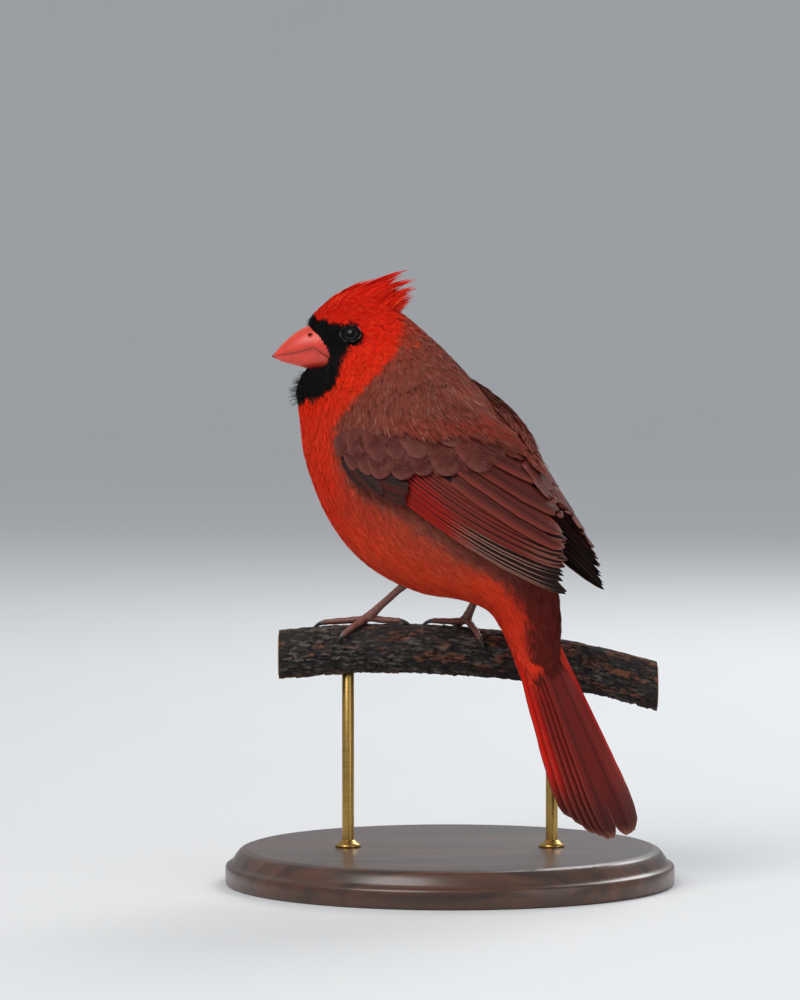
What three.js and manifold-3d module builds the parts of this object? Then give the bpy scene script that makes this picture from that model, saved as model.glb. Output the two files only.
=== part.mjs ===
// A male northern cardinal, life size, perched on a cut length of pine branch on a plain display stand.
// Units are millimetres and +Z is up. The bird looks along -X, its left side is towards -Y, and its body
// is turned about the vertical so that the head lies further along +Y than the tail.
import * as THREE from "three";
import { mergeVertices } from "three/addons/utils/BufferGeometryUtils.js";
import Module from "manifold-3d";

const wasm = await Module();
wasm.setup();

const GAP = 0.3;
const UP = new THREE.Vector3(0, 0, 1);
const rad = THREE.MathUtils.degToRad;
const lerp = THREE.MathUtils.lerp;

// The bird's middle plane passes over this point of the ground and is turned by this angle.
const BODY_X = -8;
const BODY_Y = -2;
const BODY_YAW = 28;
const TAIL_YAW = 45;
const TAIL_WAY = 36;

// Rings of the body from the face to the tail coverts. Each has its centre's x and z, the lean of its
// back away from the vertical, half its depth, half its width, and the turn about the vertical. The
// last rings, the coverts below the tail, are set to its under side.
const BODY_RINGS = [
  { x: -49.0, z: 178.6, lean: -6, deep: 4.0, wide: 3.0, yaw: 0 },
  { x: -47.2, z: 178.7, lean: 0, deep: 8.7, wide: 5.0, yaw: 0 },
  { x: -46.4, z: 179.7, lean: 17, deep: 13.6, wide: 6.0, yaw: 0 },
  { x: -43.5, z: 179.7, lean: 26, deep: 18.1, wide: 7.4, yaw: 0 },
  { x: -38.5, z: 178.2, lean: 33, deep: 22.6, wide: 9.8, yaw: 2 },
  { x: -33.5, z: 172.7, lean: 43, deep: 24.6, wide: 13.0, yaw: 6 },
  { x: -29.4, z: 166.8, lean: 49, deep: 27.1, wide: 17.0, yaw: 13 },
  { x: -25.2, z: 160.0, lean: 53, deep: 29.9, wide: 21.4, yaw: 20 },
  { x: -19.5, z: 150.8, lean: 55, deep: 32.6, wide: 25.0, yaw: 26 },
  { x: -13.3, z: 140.5, lean: 56, deep: 34.2, wide: 26.6, yaw: 28 },
  { x: -6.5, z: 129.3, lean: 56, deep: 33.2, wide: 26.6, yaw: 28 },
  { x: 1.3, z: 118.0, lean: 58, deep: 29.2, wide: 24.6, yaw: 28 },
  { x: 10.5, z: 108.5, lean: 60, deep: 23.1, wide: 20.6, yaw: 28 },
  { x: 18.3, z: 102.0, lean: 66, deep: 16.4, wide: 15.6, yaw: 30 },
  { x: 24.3, z: 94.8, lean: 74, deep: 11.8, wide: 11.6, yaw: 36 },
  { x: 28.6, z: 86.3, lean: 72, deep: 9.2, wide: 9.6, yaw: 42, under: 1.8 },
  { x: 32.0, z: 78.0, lean: 71, deep: 6.4, wide: 8.4, yaw: 45, under: 4.8 },
  { x: 35.3, z: 69.5, lean: 70, deep: 4.0, wide: 7.6, yaw: 45, under: 6.2 },
  { x: 38.8, z: 60.0, lean: 69, deep: 1.4, wide: 5.4, yaw: 45, under: 5.0 },
];
const BODY_SIDES = 20;
const BODY_STEPS = 30;
// Where the head, neck, torso and rump part, as ring numbers counted from the face.
const NECK_RING = 5.55;
const TORSO_RING = 7.7;
const RUMP_RING = 12.4;
const TAIL_RING = 14.0;

// A wing lies on a bed, a body of elliptic sections along the wing's own axis. Each row has the
// section's middle, half its height and half its width, at equal steps of the distance along the axis.
const WING_ORIGIN = { s: 0, z: 143.4 };
const WING_DOWN = 37;
const BED_FROM = -22;
const BED_TO = 86;
const BED_ROWS = [
  [-9.0, 24.0, 22.0],
  [-6.5, 32.5, 28.0],
  [-6.0, 32.0, 29.0],
  [-4.0, 24.8, 27.0],
  [-3.0, 18.6, 22.8],
  [-1.8, 12.5, 17.0],
  [0.0, 5.0, 12.0],
];
// The arm of the wing, seen from the side, as distances along and above the wing's axis.
const WING_ARM = [
  [-17, -11], [-3, -13], [12, -12], [26, -9.5], [33, -4], [34.5, 3], [31, 9], [23, 15.5], [13, 20.5],
  [0, 22.5], [-10, 16], [-18, 3],
];

// Places along a feather as shares of its length, with the share of its half width there.
const LONG_VANE = [[0, 0.6], [0.34, 0.9], [0.7, 1], [0.92, 0.78], [1, 0.26]];
const SHORT_VANE = [[0, 0.6], [0.55, 1], [0.88, 0.8], [1, 0.3]];

// Tiers of the folded wing. Each tier runs from its first feather, at the wing's lower edge, to its last:
// root and tip places on the bed, half widths, and heights above the bed. The bow bends its feathers
// towards the back. The tilt raises each feather's lower edge and tucks the upper one under its neighbour.
// Roots are sunk below their tier by WING_SUNK and reach its height by WING_RISE of the length.
const WING_SUNK = 2.8;
const WING_RISE = 0.4;
const WING_TIERS = [
  { name: "primaries", count: 7, vane: LONG_VANE, root: [[20, -10.5], [26, -4]],
    tip: [[77.5, 2.6], [65.5, 8.4]], half: [2.5, 3.0], lift: [-1.9, -0.9], bow: -1.2, tilt: 24 },
  { name: "secondaries", count: 6, vane: LONG_VANE, root: [[18, -6], [20, 5]],
    tip: [[66, 8.2], [60.5, 12.8]], half: [3.0, 3.4], lift: [-0.4, 0.9], bow: -1.0, tilt: 22 },
  { name: "tertials", count: 3, vane: LONG_VANE, root: [[14, 8], [11, 17.5]],
    tip: [[57.5, 15.0], [38.5, 20.4]], half: [4.8, 4.8], lift: [1.7, 2.4], bow: 0.6, tilt: 10 },
  { name: "primary coverts", count: 3, vane: SHORT_VANE, root: [[-6, -11.4], [-4, -8.4]],
    tip: [[19, -9.6], [16, -6.2]], half: [2.3, 2.5], lift: [0.7, 1.1], bow: -1, tilt: 12 },
  { name: "alula", count: 2, vane: SHORT_VANE, root: [[-13, -10.6], [-11.5, -8.2]],
    tip: [[3.5, -11.6], [6, -8.8]], half: [2.2, 2.4], lift: [1.5, 1.9], bow: -0.8, tilt: 10 },
  { name: "greater coverts", count: 6, vane: SHORT_VANE, root: [[1, -5], [12, 16.5]],
    tip: [[17.5, -3.2], [29, 14.6]], half: [3.6, 3.9], lift: [2.2, 2.9], bow: 0, tilt: 9 },
  { name: "median coverts", count: 5, vane: SHORT_VANE, root: [[-11, -6], [0, 18]],
    tip: [[5, -5], [16.5, 15.6]], half: [4.2, 4.6], lift: [3.0, 3.6], bow: 0, tilt: 7 },
];

// Tail feathers fan out from inside the coverts. The middle pair lies on top, with a notch between its
// tips, and each pair outwards is lower and a little shorter.
const TAIL_PAIRS = 6;
const TAIL_ROOT = { x: 25.6, z: 93.0 };
const TAIL_TIP = { x: 55.4, z: 20.4 };
const TAIL_SPREAD = { first: 3.9, last: 15.6 };
const TAIL_ROOT_SPREAD = { first: 0.9, last: 4.4 };
const TAIL_ARCH = 3.0;
const TAIL_LAYER = 0.55;
const TAIL_ROLL = 0.3;
const RECTRIX_HALF = 4.9;
const RECTRIX_SHORTER = 6.5;
const RECTRIX_VANE = [[0, 0.5], [0.3, 0.72], [0.6, 0.92], [0.85, 1], [0.965, 0.7], [1, 0.24]];

// The crest, row by row from the forehead: root and tip in x and z, the half width of its feathers and
// how far from the middle plane the outer ones start. A row is a middle feather between two outer ones,
// which lean against it like a roof.
const CREST_ROWS = [
  { root: [-45.0, 189.0], tip: [-33.5, 199.2], half: 2.2, out: 3.2 },
  { root: [-41.6, 191.8], tip: [-26.5, 202.4], half: 2.6, out: 4.0 },
  { root: [-37.0, 193.4], tip: [-19.0, 204.0], half: 2.9, out: 4.6 },
  { root: [-32.5, 193.6], tip: [-12.0, 205.0], half: 2.5, out: 4.6 },
  { root: [-28.8, 192.0], tip: [-14.0, 201.0], half: 2.8, out: 5.0 },
  { root: [-26.5, 190.4], tip: [-9.4, 201.6], half: 2.3, out: 4.6 },
  { root: [-23.4, 187.8], tip: [-9.4, 198.2], half: 2.4, out: 4.4 },
];
const CREST_SUNK = 1.2;
// The crown falls away from its middle line by this much for each square millimetre out.
const CROWN_FALL = 0.13;
const CREST_VANE = [[0, 0.7], [0.42, 1], [0.8, 0.62], [1, 0.14]];
const CREST_BOW = 2.4;

// The bill: half width at the base, and the top and bottom lines at equal steps from base to tip.
const BILL_BASE_X = -39;
const BILL_TIP_X = -59.5;
const BILL_TOP = [185.6, 186.6, 186.3, 185.0, 182.7, 179.6, 175.9];
const BILL_BOTTOM = [170.6, 170.9, 171.3, 172.0, 172.8, 173.8, 175.3];
const BILL_HALF = [7.0, 6.8, 6.3, 5.4, 4.2, 2.7, 0.5];
// The feathers of the face end on this line over the bill, and the mouth's line has a bend.
const FACE_LINE = [
  [-50, 190], [-47.8, 185.8], [-44.0, 182.3], [-40.8, 177.4], [-40.4, 174.4], [-41.6, 171.0], [-47.6, 171.3],
];
const FACE_FRONT = -62;
const FACE_MIDDLE = 178;
const FACE_WIDE = 9.6;
const FACE_SLOPE = 3.0;
const MOUTH_LINE = [[-40, 174.8], [-45.2, 178.4], [-51, 176.9], [-59.6, 175.6]];
const MOUTH_BOX = { front: -64, back: -38, top: 190, bottom: 166 };

const EYE = { x: -32.7, z: 182.9, side: 8.7, radius: 3.2 };
// Each eye's lids are a ring on the head, set out from the eye's middle, turned a little forwards and
// tilted a little up.
const LID = { radius: 3.3, thick: 0.8, out: 2.1, turn: 14, tilt: 18 };
const NOSTRIL = { x: -46.4, z: 183.1, side: 4.5, radius: 0.9 };

// The branch runs along X with a slight arch. The legs stand on it.
const BRANCH_FROM = -57;
const BRANCH_TO = 69;
const BRANCH_RADIUS = 8.2;
const branchZ = (x) => 78.5 - 0.0016 * (x + 20) ** 2;

const LEGS = [
  { side: "left", foot: { x: -27, y: -0.6 }, heel: [-9.5, -9, 104.5], turn: 0 },
  { side: "right", foot: { x: 5.3, y: 0.4 }, heel: [15.8, -8.5, 108.5], turn: 14 },
];
const TARSUS_RADIUS = 1.25;
// Toes by the way they leave the foot, in degrees from the way the bird looks, and their length.
const TOES = [
  { name: "inner", way: 42, long: 11 },
  { name: "middle", way: -18, long: 15.5 },
  { name: "outer", way: -72, long: 12 },
  { name: "hind", way: 158, long: 10.5 },
];
const TOE_RADIUS = 1.15;
const KNUCKLE_RADIUS = 1.9;
const CLAW_LONG = 6;

const BASE_RADIUS = 75;
const BASE_HEIGHT = 12;
const ROD_RADIUS = 2;
const ROD_X = [-34, 34];
const ROD_SOCKET = 6;

// A three.js geometry as a closed solid with its faces outwards.
function solid(geometry) {
  const bare = new THREE.BufferGeometry();
  bare.setAttribute("position", geometry.getAttribute("position"));
  if (geometry.index) bare.setIndex(geometry.index);
  const merged = mergeVertices(bare, 1e-4);
  const corners = new Uint32Array(merged.index.array);
  const make = (triVerts) =>
    new wasm.Manifold(
      new wasm.Mesh({ numProp: 3, vertProperties: merged.attributes.position.array, triVerts }),
    );
  const made = make(corners);
  return made.volume() > 0 ? made : make(corners.toReversed());
}

// The largest body of a solid, with any void that joining has sealed filled in.
function whole(body) {
  const pieces = body.decompose().filter((piece) => piece.volume() > 0);
  return pieces.reduce((best, piece) => (piece.volume() > best.volume() ? piece : best));
}

const join = (bodies) => bodies.reduce((sum, body) => sum.add(body));

// A solid as a named mesh of the scene.
function mesh(name, body, material) {
  const { vertProperties, triVerts } = whole(body).getMesh();
  const geometry = new THREE.BufferGeometry();
  geometry.setAttribute("position", new THREE.BufferAttribute(vertProperties, 3));
  geometry.setIndex(new THREE.BufferAttribute(triVerts, 1));
  geometry.computeVertexNormals();
  const made = new THREE.Mesh(geometry, material);
  made.name = name;
  return made;
}

// Rings of points joined into a closed skin, with both ends closed round their middles.
function loft(rings) {
  const sides = rings[0].length;
  const middle = (ring) => ring.reduce((sum, p) => sum.add(p), new THREE.Vector3()).divideScalar(sides);
  const points = [...rings.flat(), middle(rings[0]), middle(rings.at(-1))];
  const faces = [];
  const at = (ring, side) => ring * sides + (side % sides);
  for (let ring = 0; ring + 1 < rings.length; ring++)
    for (let side = 0; side < sides; side++) {
      faces.push(at(ring, side), at(ring, side + 1), at(ring + 1, side + 1));
      faces.push(at(ring, side), at(ring + 1, side + 1), at(ring + 1, side));
    }
  const last = rings.length - 1;
  for (let side = 0; side < sides; side++) {
    faces.push(at(0, side + 1), at(0, side), points.length - 2);
    faces.push(at(last, side), at(last, side + 1), points.length - 1);
  }
  const geometry = new THREE.BufferGeometry().setFromPoints(points);
  geometry.setIndex(faces);
  return solid(geometry);
}

// A value that passes smoothly through equally spaced rows of numbers, at a place counted in rows.
function through(rows, place) {
  const from = THREE.MathUtils.clamp(Math.floor(place), 0, rows.length - 2);
  const part = THREE.MathUtils.clamp(place - from, 0, 1);
  const row = (i) => rows[THREE.MathUtils.clamp(i, 0, rows.length - 1)];
  return rows[from].map((_, k) => {
    const [a, b, c, d] = [row(from - 1)[k], row(from)[k], row(from + 1)[k], row(from + 2)[k]];
    const bend = 2 * a - 5 * b + 4 * c - d + part * (3 * (b - c) + d - a);
    return b + 0.5 * part * (c - a + part * bend);
  });
}

// A tube along points, round, with a radius at each point.
function tube(path, radii, sides = 8) {
  const rings = path.map((point, i) => {
    const along = path[Math.min(i + 1, path.length - 1)].clone().sub(path[Math.max(i - 1, 0)]).normalize();
    const across = new THREE.Vector3().crossVectors(along, new THREE.Vector3(0.31, 0.92, 0.24)).normalize();
    const over = new THREE.Vector3().crossVectors(across, along);
    return Array.from({ length: sides }, (_, k) => {
      const turn = (2 * Math.PI * k) / sides;
      return point
        .clone()
        .addScaledVector(across, radii[i] * Math.cos(turn))
        .addScaledVector(over, radii[i] * Math.sin(turn));
    });
  });
  return loft(rings);
}

// An outline in x and z carried through the body along Y.
function slab(outline, fromY, toY) {
  const shape = new THREE.Shape(outline.map(([x, z]) => new THREE.Vector2(x, z)));
  const geometry = new THREE.ExtrudeGeometry(shape, { depth: toY - fromY, bevelEnabled: false });
  geometry.rotateX(Math.PI / 2);
  geometry.translate(0, toY, 0);
  return solid(geometry);
}

// A feather along a spine of points and outward normals: arched across, thin at its edges, thicker along
// its shaft, and rounded at its tip. Both faces are split alike.
const EDGE_THICK = 0.5;
const SHAFT_THICK = 0.9;
const TIP_THIN = 0.5;
const VANE_ARCH = 0.14;
function vane(spine, halfWidths) {
  const points = spine.flatMap(({ point, normal }, i) => {
    const thin = i + 1 < spine.length ? 1 : TIP_THIN;
    const ahead = spine[Math.min(i + 1, spine.length - 1)].point;
    const behind = spine[Math.max(i - 1, 0)].point;
    const across = new THREE.Vector3().crossVectors(ahead.clone().sub(behind), normal).normalize();
    const place = (side, lift) =>
      point
        .clone()
        .addScaledVector(across, side * halfWidths[i])
        .addScaledVector(normal, lift * thin - Math.abs(side) * VANE_ARCH * halfWidths[i]);
    return [
      place(-1, EDGE_THICK / 2), place(0, SHAFT_THICK / 2), place(1, EDGE_THICK / 2),
      place(1, -EDGE_THICK / 2), place(0, -SHAFT_THICK / 2), place(-1, -EDGE_THICK / 2),
    ];
  });
  // Corners of each strip between two rows, with the diagonal from an edge to the shaft ahead.
  const strips = [[0, 1], [2, 1], [2, 3], [3, 4], [5, 4], [5, 0]];
  const turned = [false, true, false, false, true, false];
  const faces = [];
  for (let row = 0; row + 1 < spine.length; row++)
    strips.forEach(([a, b], i) => {
      const [p, q, r, t] = [row * 6 + a, row * 6 + b, row * 6 + 6 + b, row * 6 + 6 + a];
      faces.push(...(turned[i] ? [p, r, q, p, t, r] : [p, q, r, p, r, t]));
    });
  const end = (spine.length - 1) * 6;
  faces.push(1, 0, 5, 1, 5, 4, 2, 1, 4, 2, 4, 3);
  faces.push(...[0, 1, 4, 0, 4, 5, 1, 2, 3, 1, 3, 4].map((corner) => end + corner));
  const geometry = new THREE.BufferGeometry().setFromPoints(points);
  geometry.setIndex(faces);
  return solid(geometry);
}

// Directions of a ring: left of the bird, and towards its back.
function ringAxes(yaw, lean) {
  const ahead = new THREE.Vector3(-Math.cos(rad(yaw)), Math.sin(rad(yaw)), 0);
  const left = new THREE.Vector3().crossVectors(UP, ahead);
  const back = UP.clone().multiplyScalar(Math.cos(rad(lean))).addScaledVector(ahead, -Math.sin(rad(lean)));
  return { ahead, left, back };
}

// The middle plane's depth at each ring follows from the turn of the rings between it and the torso.
const bodyDepths = BODY_RINGS.map(() => 0);
const MIDDLE_RING = 10;
bodyDepths[MIDDLE_RING] = BODY_Y - Math.tan(rad(BODY_YAW)) * (BODY_RINGS[MIDDLE_RING].x - BODY_X);
function depthStep(from, to) {
  const yaw = (BODY_RINGS[from].yaw + BODY_RINGS[to].yaw) / 2;
  bodyDepths[to] = bodyDepths[from] - Math.tan(rad(yaw)) * (BODY_RINGS[to].x - BODY_RINGS[from].x);
}
for (let i = MIDDLE_RING; i > 0; i--) depthStep(i, i - 1);
for (let i = MIDDLE_RING; i + 1 < BODY_RINGS.length; i++) depthStep(i, i + 1);
const HEAD_Y = bodyDepths[2];

const ringNumbers = BODY_RINGS.map((ring, i) => [
  ring.x, bodyDepths[i], ring.z, ring.lean, ring.deep, ring.wide, ring.yaw, ring.under ?? 0,
]);

// The ring at a place along the body, which may lie between two of the listed rings.
function bodyRing(place) {
  const [x, y, z, lean, deep, wide, yaw, under] = through(ringNumbers, place);
  const axes = ringAxes(yaw, lean);
  return { centre: new THREE.Vector3(x, y, z).addScaledVector(axes.back, -under), deep, wide, ...axes };
}

function body(grow) {
  const rings = Array.from({ length: BODY_STEPS + 1 }, (_, step) => {
    const { centre, deep, wide, left, back } = bodyRing((step / BODY_STEPS) * (BODY_RINGS.length - 1));
    return Array.from({ length: BODY_SIDES }, (_, k) => {
      const turn = (2 * Math.PI * k) / BODY_SIDES;
      return centre
        .clone()
        .addScaledVector(back, (deep + grow) * Math.cos(turn))
        .addScaledVector(left, (wide + grow) * Math.sin(turn));
    });
  });
  return loft(rings);
}

// The part of a body on the tail's side of a ring's plane, or on the head's side.
function cutAt(bodySolid, place, towardsTail) {
  const { centre, left, back } = bodyRing(place);
  const way = new THREE.Vector3().crossVectors(back, left).multiplyScalar(towardsTail ? 1 : -1);
  return bodySolid.trimByPlane(way.toArray(), way.dot(centre) + GAP / 2);
}

// Points of the middle plane: s is ahead of the bird's middle, l is left of it.
function birdPoint(s, l, z) {
  const { ahead, left } = ringAxes(BODY_YAW, 0);
  return new THREE.Vector3(BODY_X, BODY_Y, z).addScaledVector(ahead, s).addScaledVector(left, l);
}

const wingAlong = birdPoint(-Math.cos(rad(WING_DOWN)), 0, -Math.sin(rad(WING_DOWN)));
wingAlong.sub(birdPoint(0, 0, 0));
const wingAbove = birdPoint(-Math.sin(rad(WING_DOWN)), 0, Math.cos(rad(WING_DOWN)));
wingAbove.sub(birdPoint(0, 0, 0));
const wingOrigin = birdPoint(WING_ORIGIN.s, 0, WING_ORIGIN.z);
const wingOut = ringAxes(BODY_YAW, 0).left;

const bedRow = (a) => through(BED_ROWS, ((a - BED_FROM) / (BED_TO - BED_FROM)) * (BED_ROWS.length - 1));

// The point of the wing bed at a distance along and above the wing's axis, on the left or right side.
function bedPoint(a, b, side) {
  const [middle, high, wide] = bedRow(a);
  const share = THREE.MathUtils.clamp((b - middle) / high, -0.985, 0.985);
  return wingOrigin
    .clone()
    .addScaledVector(wingAlong, a)
    .addScaledVector(wingAbove, middle + share * high)
    .addScaledVector(wingOut, side * wide * Math.sqrt(1 - share ** 2));
}

function bedNormal(a, b, side) {
  const step = 0.4;
  const along = bedPoint(a + step, b, side).sub(bedPoint(a - step, b, side));
  const above = bedPoint(a, b + step, side).sub(bedPoint(a, b - step, side));
  const normal = new THREE.Vector3().crossVectors(along, above).normalize();
  return normal.dot(wingOut) * side < 0 ? normal.negate() : normal;
}

function bed(grow) {
  const steps = 12;
  const sides = 20;
  return loft(
    Array.from({ length: steps + 1 }, (_, i) => {
      const a = lerp(BED_FROM, BED_TO, i / steps);
      const [middle, high, wide] = bedRow(a);
      return Array.from({ length: sides }, (_, k) => {
        const turn = (2 * Math.PI * k) / sides;
        return wingOrigin
          .clone()
          .addScaledVector(wingAlong, a)
          .addScaledVector(wingAbove, middle + (high + grow) * Math.cos(turn))
          .addScaledVector(wingOut, (wide + grow) * Math.sin(turn));
      });
    }),
  );
}

// The arm's outline as a prism that reaches out from just beside the middle plane.
function armPrism(side) {
  const shape = new THREE.Shape(WING_ARM.map(([a, b]) => new THREE.Vector2(a, b)));
  const geometry = new THREE.ExtrudeGeometry(shape, { depth: 40, bevelEnabled: false });
  const out = wingOut.clone().multiplyScalar(side);
  const basis = new THREE.Matrix4().makeBasis(wingAlong, wingAbove, out);
  basis.setPosition(wingOrigin.clone().addScaledVector(out, 0.6));
  return solid(geometry.applyMatrix4(basis));
}

// One feather of a tier, from its root to its tip over the bed.
function wingFeather(tier, share, side) {
  const pick = (pair, k) => lerp(pair[0][k], pair[1][k], share);
  const root = [pick(tier.root, 0), pick(tier.root, 1)];
  const tip = [pick(tier.tip, 0), pick(tier.tip, 1)];
  const lift = lerp(...tier.lift, share);
  const half = lerp(...tier.half, share);
  const spine = tier.vane.map(([place]) => {
    const a = lerp(root[0], tip[0], place);
    const b = lerp(root[1], tip[1], place) + 4 * tier.bow * place * (1 - place);
    const out = bedNormal(a, b, side);
    const above = bedPoint(a, b + 1, side).sub(bedPoint(a, b - 1, side)).normalize();
    const normal = out.clone().addScaledVector(above, Math.tan(rad(tier.tilt))).normalize();
    const sunk = WING_SUNK * Math.max(0, 1 - place / WING_RISE);
    return { point: bedPoint(a, b, side).addScaledVector(out, lift - sunk), normal };
  });
  return vane(spine, tier.vane.map(([, width]) => width * half));
}

function wing(side, around) {
  const arm = bed(0).intersect(armPrism(side));
  const feathers = WING_TIERS.flatMap((tier) =>
    Array.from({ length: tier.count }, (_, i) => wingFeather(tier, i / (tier.count - 1), side)),
  );
  return join([whole(arm), ...feathers]).subtract(around);
}

// The tail's own directions: down its length, across it and out of its upper face.
function tailAxes() {
  const { left } = ringAxes(TAIL_YAW, 0);
  const { centre } = bodyRing(TAIL_RING);
  const onWay = ({ x, z }) => new THREE.Vector3(x, centre.y - Math.tan(rad(TAIL_WAY)) * (x - centre.x), z);
  const root = onWay(TAIL_ROOT);
  const tip = onWay(TAIL_TIP);
  const down = tip.clone().sub(root);
  const long = down.length();
  down.normalize();
  const upper = new THREE.Vector3().crossVectors(left, down).normalize();
  if (upper.x < 0) upper.negate();
  const across = new THREE.Vector3().crossVectors(down, upper).normalize();
  return { root, down, long, upper, across };
}

function rectrix(pair, side) {
  const { root, down, long, upper, across } = tailAxes();
  const share = pair / (TAIL_PAIRS - 1);
  const length = long - RECTRIX_SHORTER * share ** 2;
  const normal = upper.clone().addScaledVector(across, side * TAIL_ROLL * share).normalize();
  const spine = RECTRIX_VANE.map(([place]) => {
    const atRoot = lerp(TAIL_ROOT_SPREAD.first, TAIL_ROOT_SPREAD.last, share);
    const atTip = lerp(TAIL_SPREAD.first, TAIL_SPREAD.last, share);
    const drop = TAIL_ARCH * share ** 2 * place + TAIL_LAYER * (pair + (side > 0 ? 0.5 : 0));
    const point = root
      .clone()
      .addScaledVector(down, length * place)
      .addScaledVector(across, side * lerp(atRoot, atTip, place))
      .addScaledVector(upper, -drop);
    return { point, normal };
  });
  return vane(spine, RECTRIX_VANE.map(([, width]) => width * RECTRIX_HALF));
}

function tail() {
  const pairs = Array.from({ length: TAIL_PAIRS }, (_, pair) => [rectrix(pair, 1), rectrix(pair, -1)]);
  return cutAt(join([skin, ...pairs.flat()]), TAIL_RING, true);
}

function crestFeather({ root, tip, half, out }, side) {
  const rise = new THREE.Vector3(root[1] - tip[1], 0, tip[0] - root[0]).normalize();
  const fall = side === 0 ? 0 : CREST_SUNK + CROWN_FALL * out ** 2;
  const start = new THREE.Vector3(root[0], HEAD_Y + side * out, root[1] - fall);
  const end = new THREE.Vector3(tip[0], HEAD_Y + side * 0.9, tip[1] - 1.4 * Math.abs(side));
  const normal = rise.clone().addScaledVector(new THREE.Vector3(0, 1, 0), 2.2 * side).normalize();
  const spine = CREST_VANE.map(([place]) => ({
    point: start.clone().lerp(end, place).addScaledVector(rise, CREST_BOW * 4 * place * (1 - place) * 0.35),
    normal,
  }));
  return vane(spine, CREST_VANE.map(([, width]) => width * half));
}

const crest = () => join(CREST_ROWS.flatMap((row) => [-1, 0, 1].map((side) => crestFeather(row, side))));

// The bill before it is parted by the mouth's line.
function bill(grow) {
  const rows = BILL_TOP.map((top, i) => [top, BILL_BOTTOM[i], BILL_HALF[i]]);
  const steps = 9;
  const sides = 14;
  return loft(
    Array.from({ length: steps + 1 }, (_, i) => {
      const [top, bottom, half] = through(rows, (i / steps) * (rows.length - 1));
      const x = lerp(BILL_BASE_X + grow, BILL_TIP_X - grow, i / steps);
      return Array.from({ length: sides }, (_, k) => {
        const turn = (2 * Math.PI * k) / sides;
        const pinch = 1 - 0.16 * Math.max(0, Math.cos(turn)) ** 2;
        return new THREE.Vector3(
          x,
          HEAD_Y + (half + grow) * Math.sin(turn) * pinch,
          (top + bottom) / 2 + ((top - bottom) / 2 + grow) * Math.cos(turn),
        );
      });
    }),
  );
}

const ball = (x, y, z, radius, wide = 14, high = 10) =>
  solid(new THREE.SphereGeometry(radius, wide, high).rotateX(Math.PI / 2).translate(x, y, z));

const eyeY = (side) => HEAD_Y - side * EYE.side;

function lid(side) {
  const out = new THREE.Vector3(0, 0, 1)
    .applyAxisAngle(new THREE.Vector3(1, 0, 0), side * rad(90 - LID.tilt))
    .applyAxisAngle(UP, -side * rad(LID.turn));
  const geometry = new THREE.TorusGeometry(LID.radius, LID.thick, 5, 12);
  geometry.applyQuaternion(new THREE.Quaternion().setFromUnitVectors(UP, out));
  geometry.translate(EYE.x + LID.out * out.x, eyeY(side) + LID.out * out.y, EYE.z + LID.out * out.z);
  return solid(geometry);
}

// The space in front of the face line, which the bill fills. Sideways it closes round the bill, and it
// slopes back to the cheeks.
function billSpace(clear) {
  const line = FACE_LINE.map(([x, z]) => [x - clear, z]);
  const outline = [...line, [FACE_FRONT, line.at(-1)[1]], [FACE_FRONT, line[0][1]]];
  const sections = 9;
  return loft(
    Array.from({ length: sections }, (_, i) => {
      const share = 0.95 * ((2 * i) / (sections - 1) - 1);
      const high = Math.sqrt(1 - share ** 2);
      const back = FACE_SLOPE * Math.abs(share) ** 3;
      return outline.map(([x, z]) =>
        new THREE.Vector3(x + back, HEAD_Y - FACE_WIDE * share, lerp(FACE_MIDDLE, z, high)));
    }),
  );
}

// The space above the mouth's line, or below it.
function mouthHalf(above) {
  const line = MOUTH_LINE.map(([x, z]) => [x, z + (above ? GAP / 2 : -GAP / 2)]);
  const far = above ? MOUTH_BOX.top : MOUTH_BOX.bottom;
  const outline = [
    ...line, [MOUTH_BOX.front, line.at(-1)[1]], [MOUTH_BOX.front, far], [MOUTH_BOX.back, far],
    [MOUTH_BOX.back, line[0][1]],
  ];
  return slab(outline, HEAD_Y - FACE_WIDE, HEAD_Y + FACE_WIDE);
}

// A point beside the branch: over its axis at x, turned about it from the top towards -Y.
function onBranch(x, turn, out) {
  const reach = BRANCH_RADIUS + out;
  return new THREE.Vector3(x, -reach * Math.sin(turn), branchZ(x) + reach * Math.cos(turn));
}

function branch(grow) {
  const steps = 18;
  const sides = 12;
  const rings = Array.from({ length: steps + 1 }, (_, i) => {
    const x = lerp(BRANCH_FROM, BRANCH_TO, i / steps);
    return Array.from({ length: sides }, (_, k) => {
      const turn = (2 * Math.PI * k) / sides;
      const bark = 0.28 * Math.sin(3 * turn + x * 0.21) + 0.22 * Math.sin(5 * turn - x * 0.37);
      const onTop = Math.max(0, Math.cos(turn));
      return onBranch(x, turn, grow + (1 - onTop) * (bark - 0.5));
    });
  });
  return loft(rings);
}

const rod = (x, radius, from, to) =>
  solid(new THREE.CylinderGeometry(radius, radius, to - from, 16).rotateX(Math.PI / 2)
    .translate(x, 0, (from + to) / 2));

function base() {
  const outline = [
    [0, 0], [BASE_RADIUS, 0], [BASE_RADIUS, 6.5], [BASE_RADIUS - 2.5, 8], [BASE_RADIUS - 6, BASE_HEIGHT],
    [0, BASE_HEIGHT],
  ];
  const turned = new THREE.LatheGeometry(outline.map(([r, h]) => new THREE.Vector2(r, h)), 48);
  return solid(turned.rotateX(Math.PI / 2));
}

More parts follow.
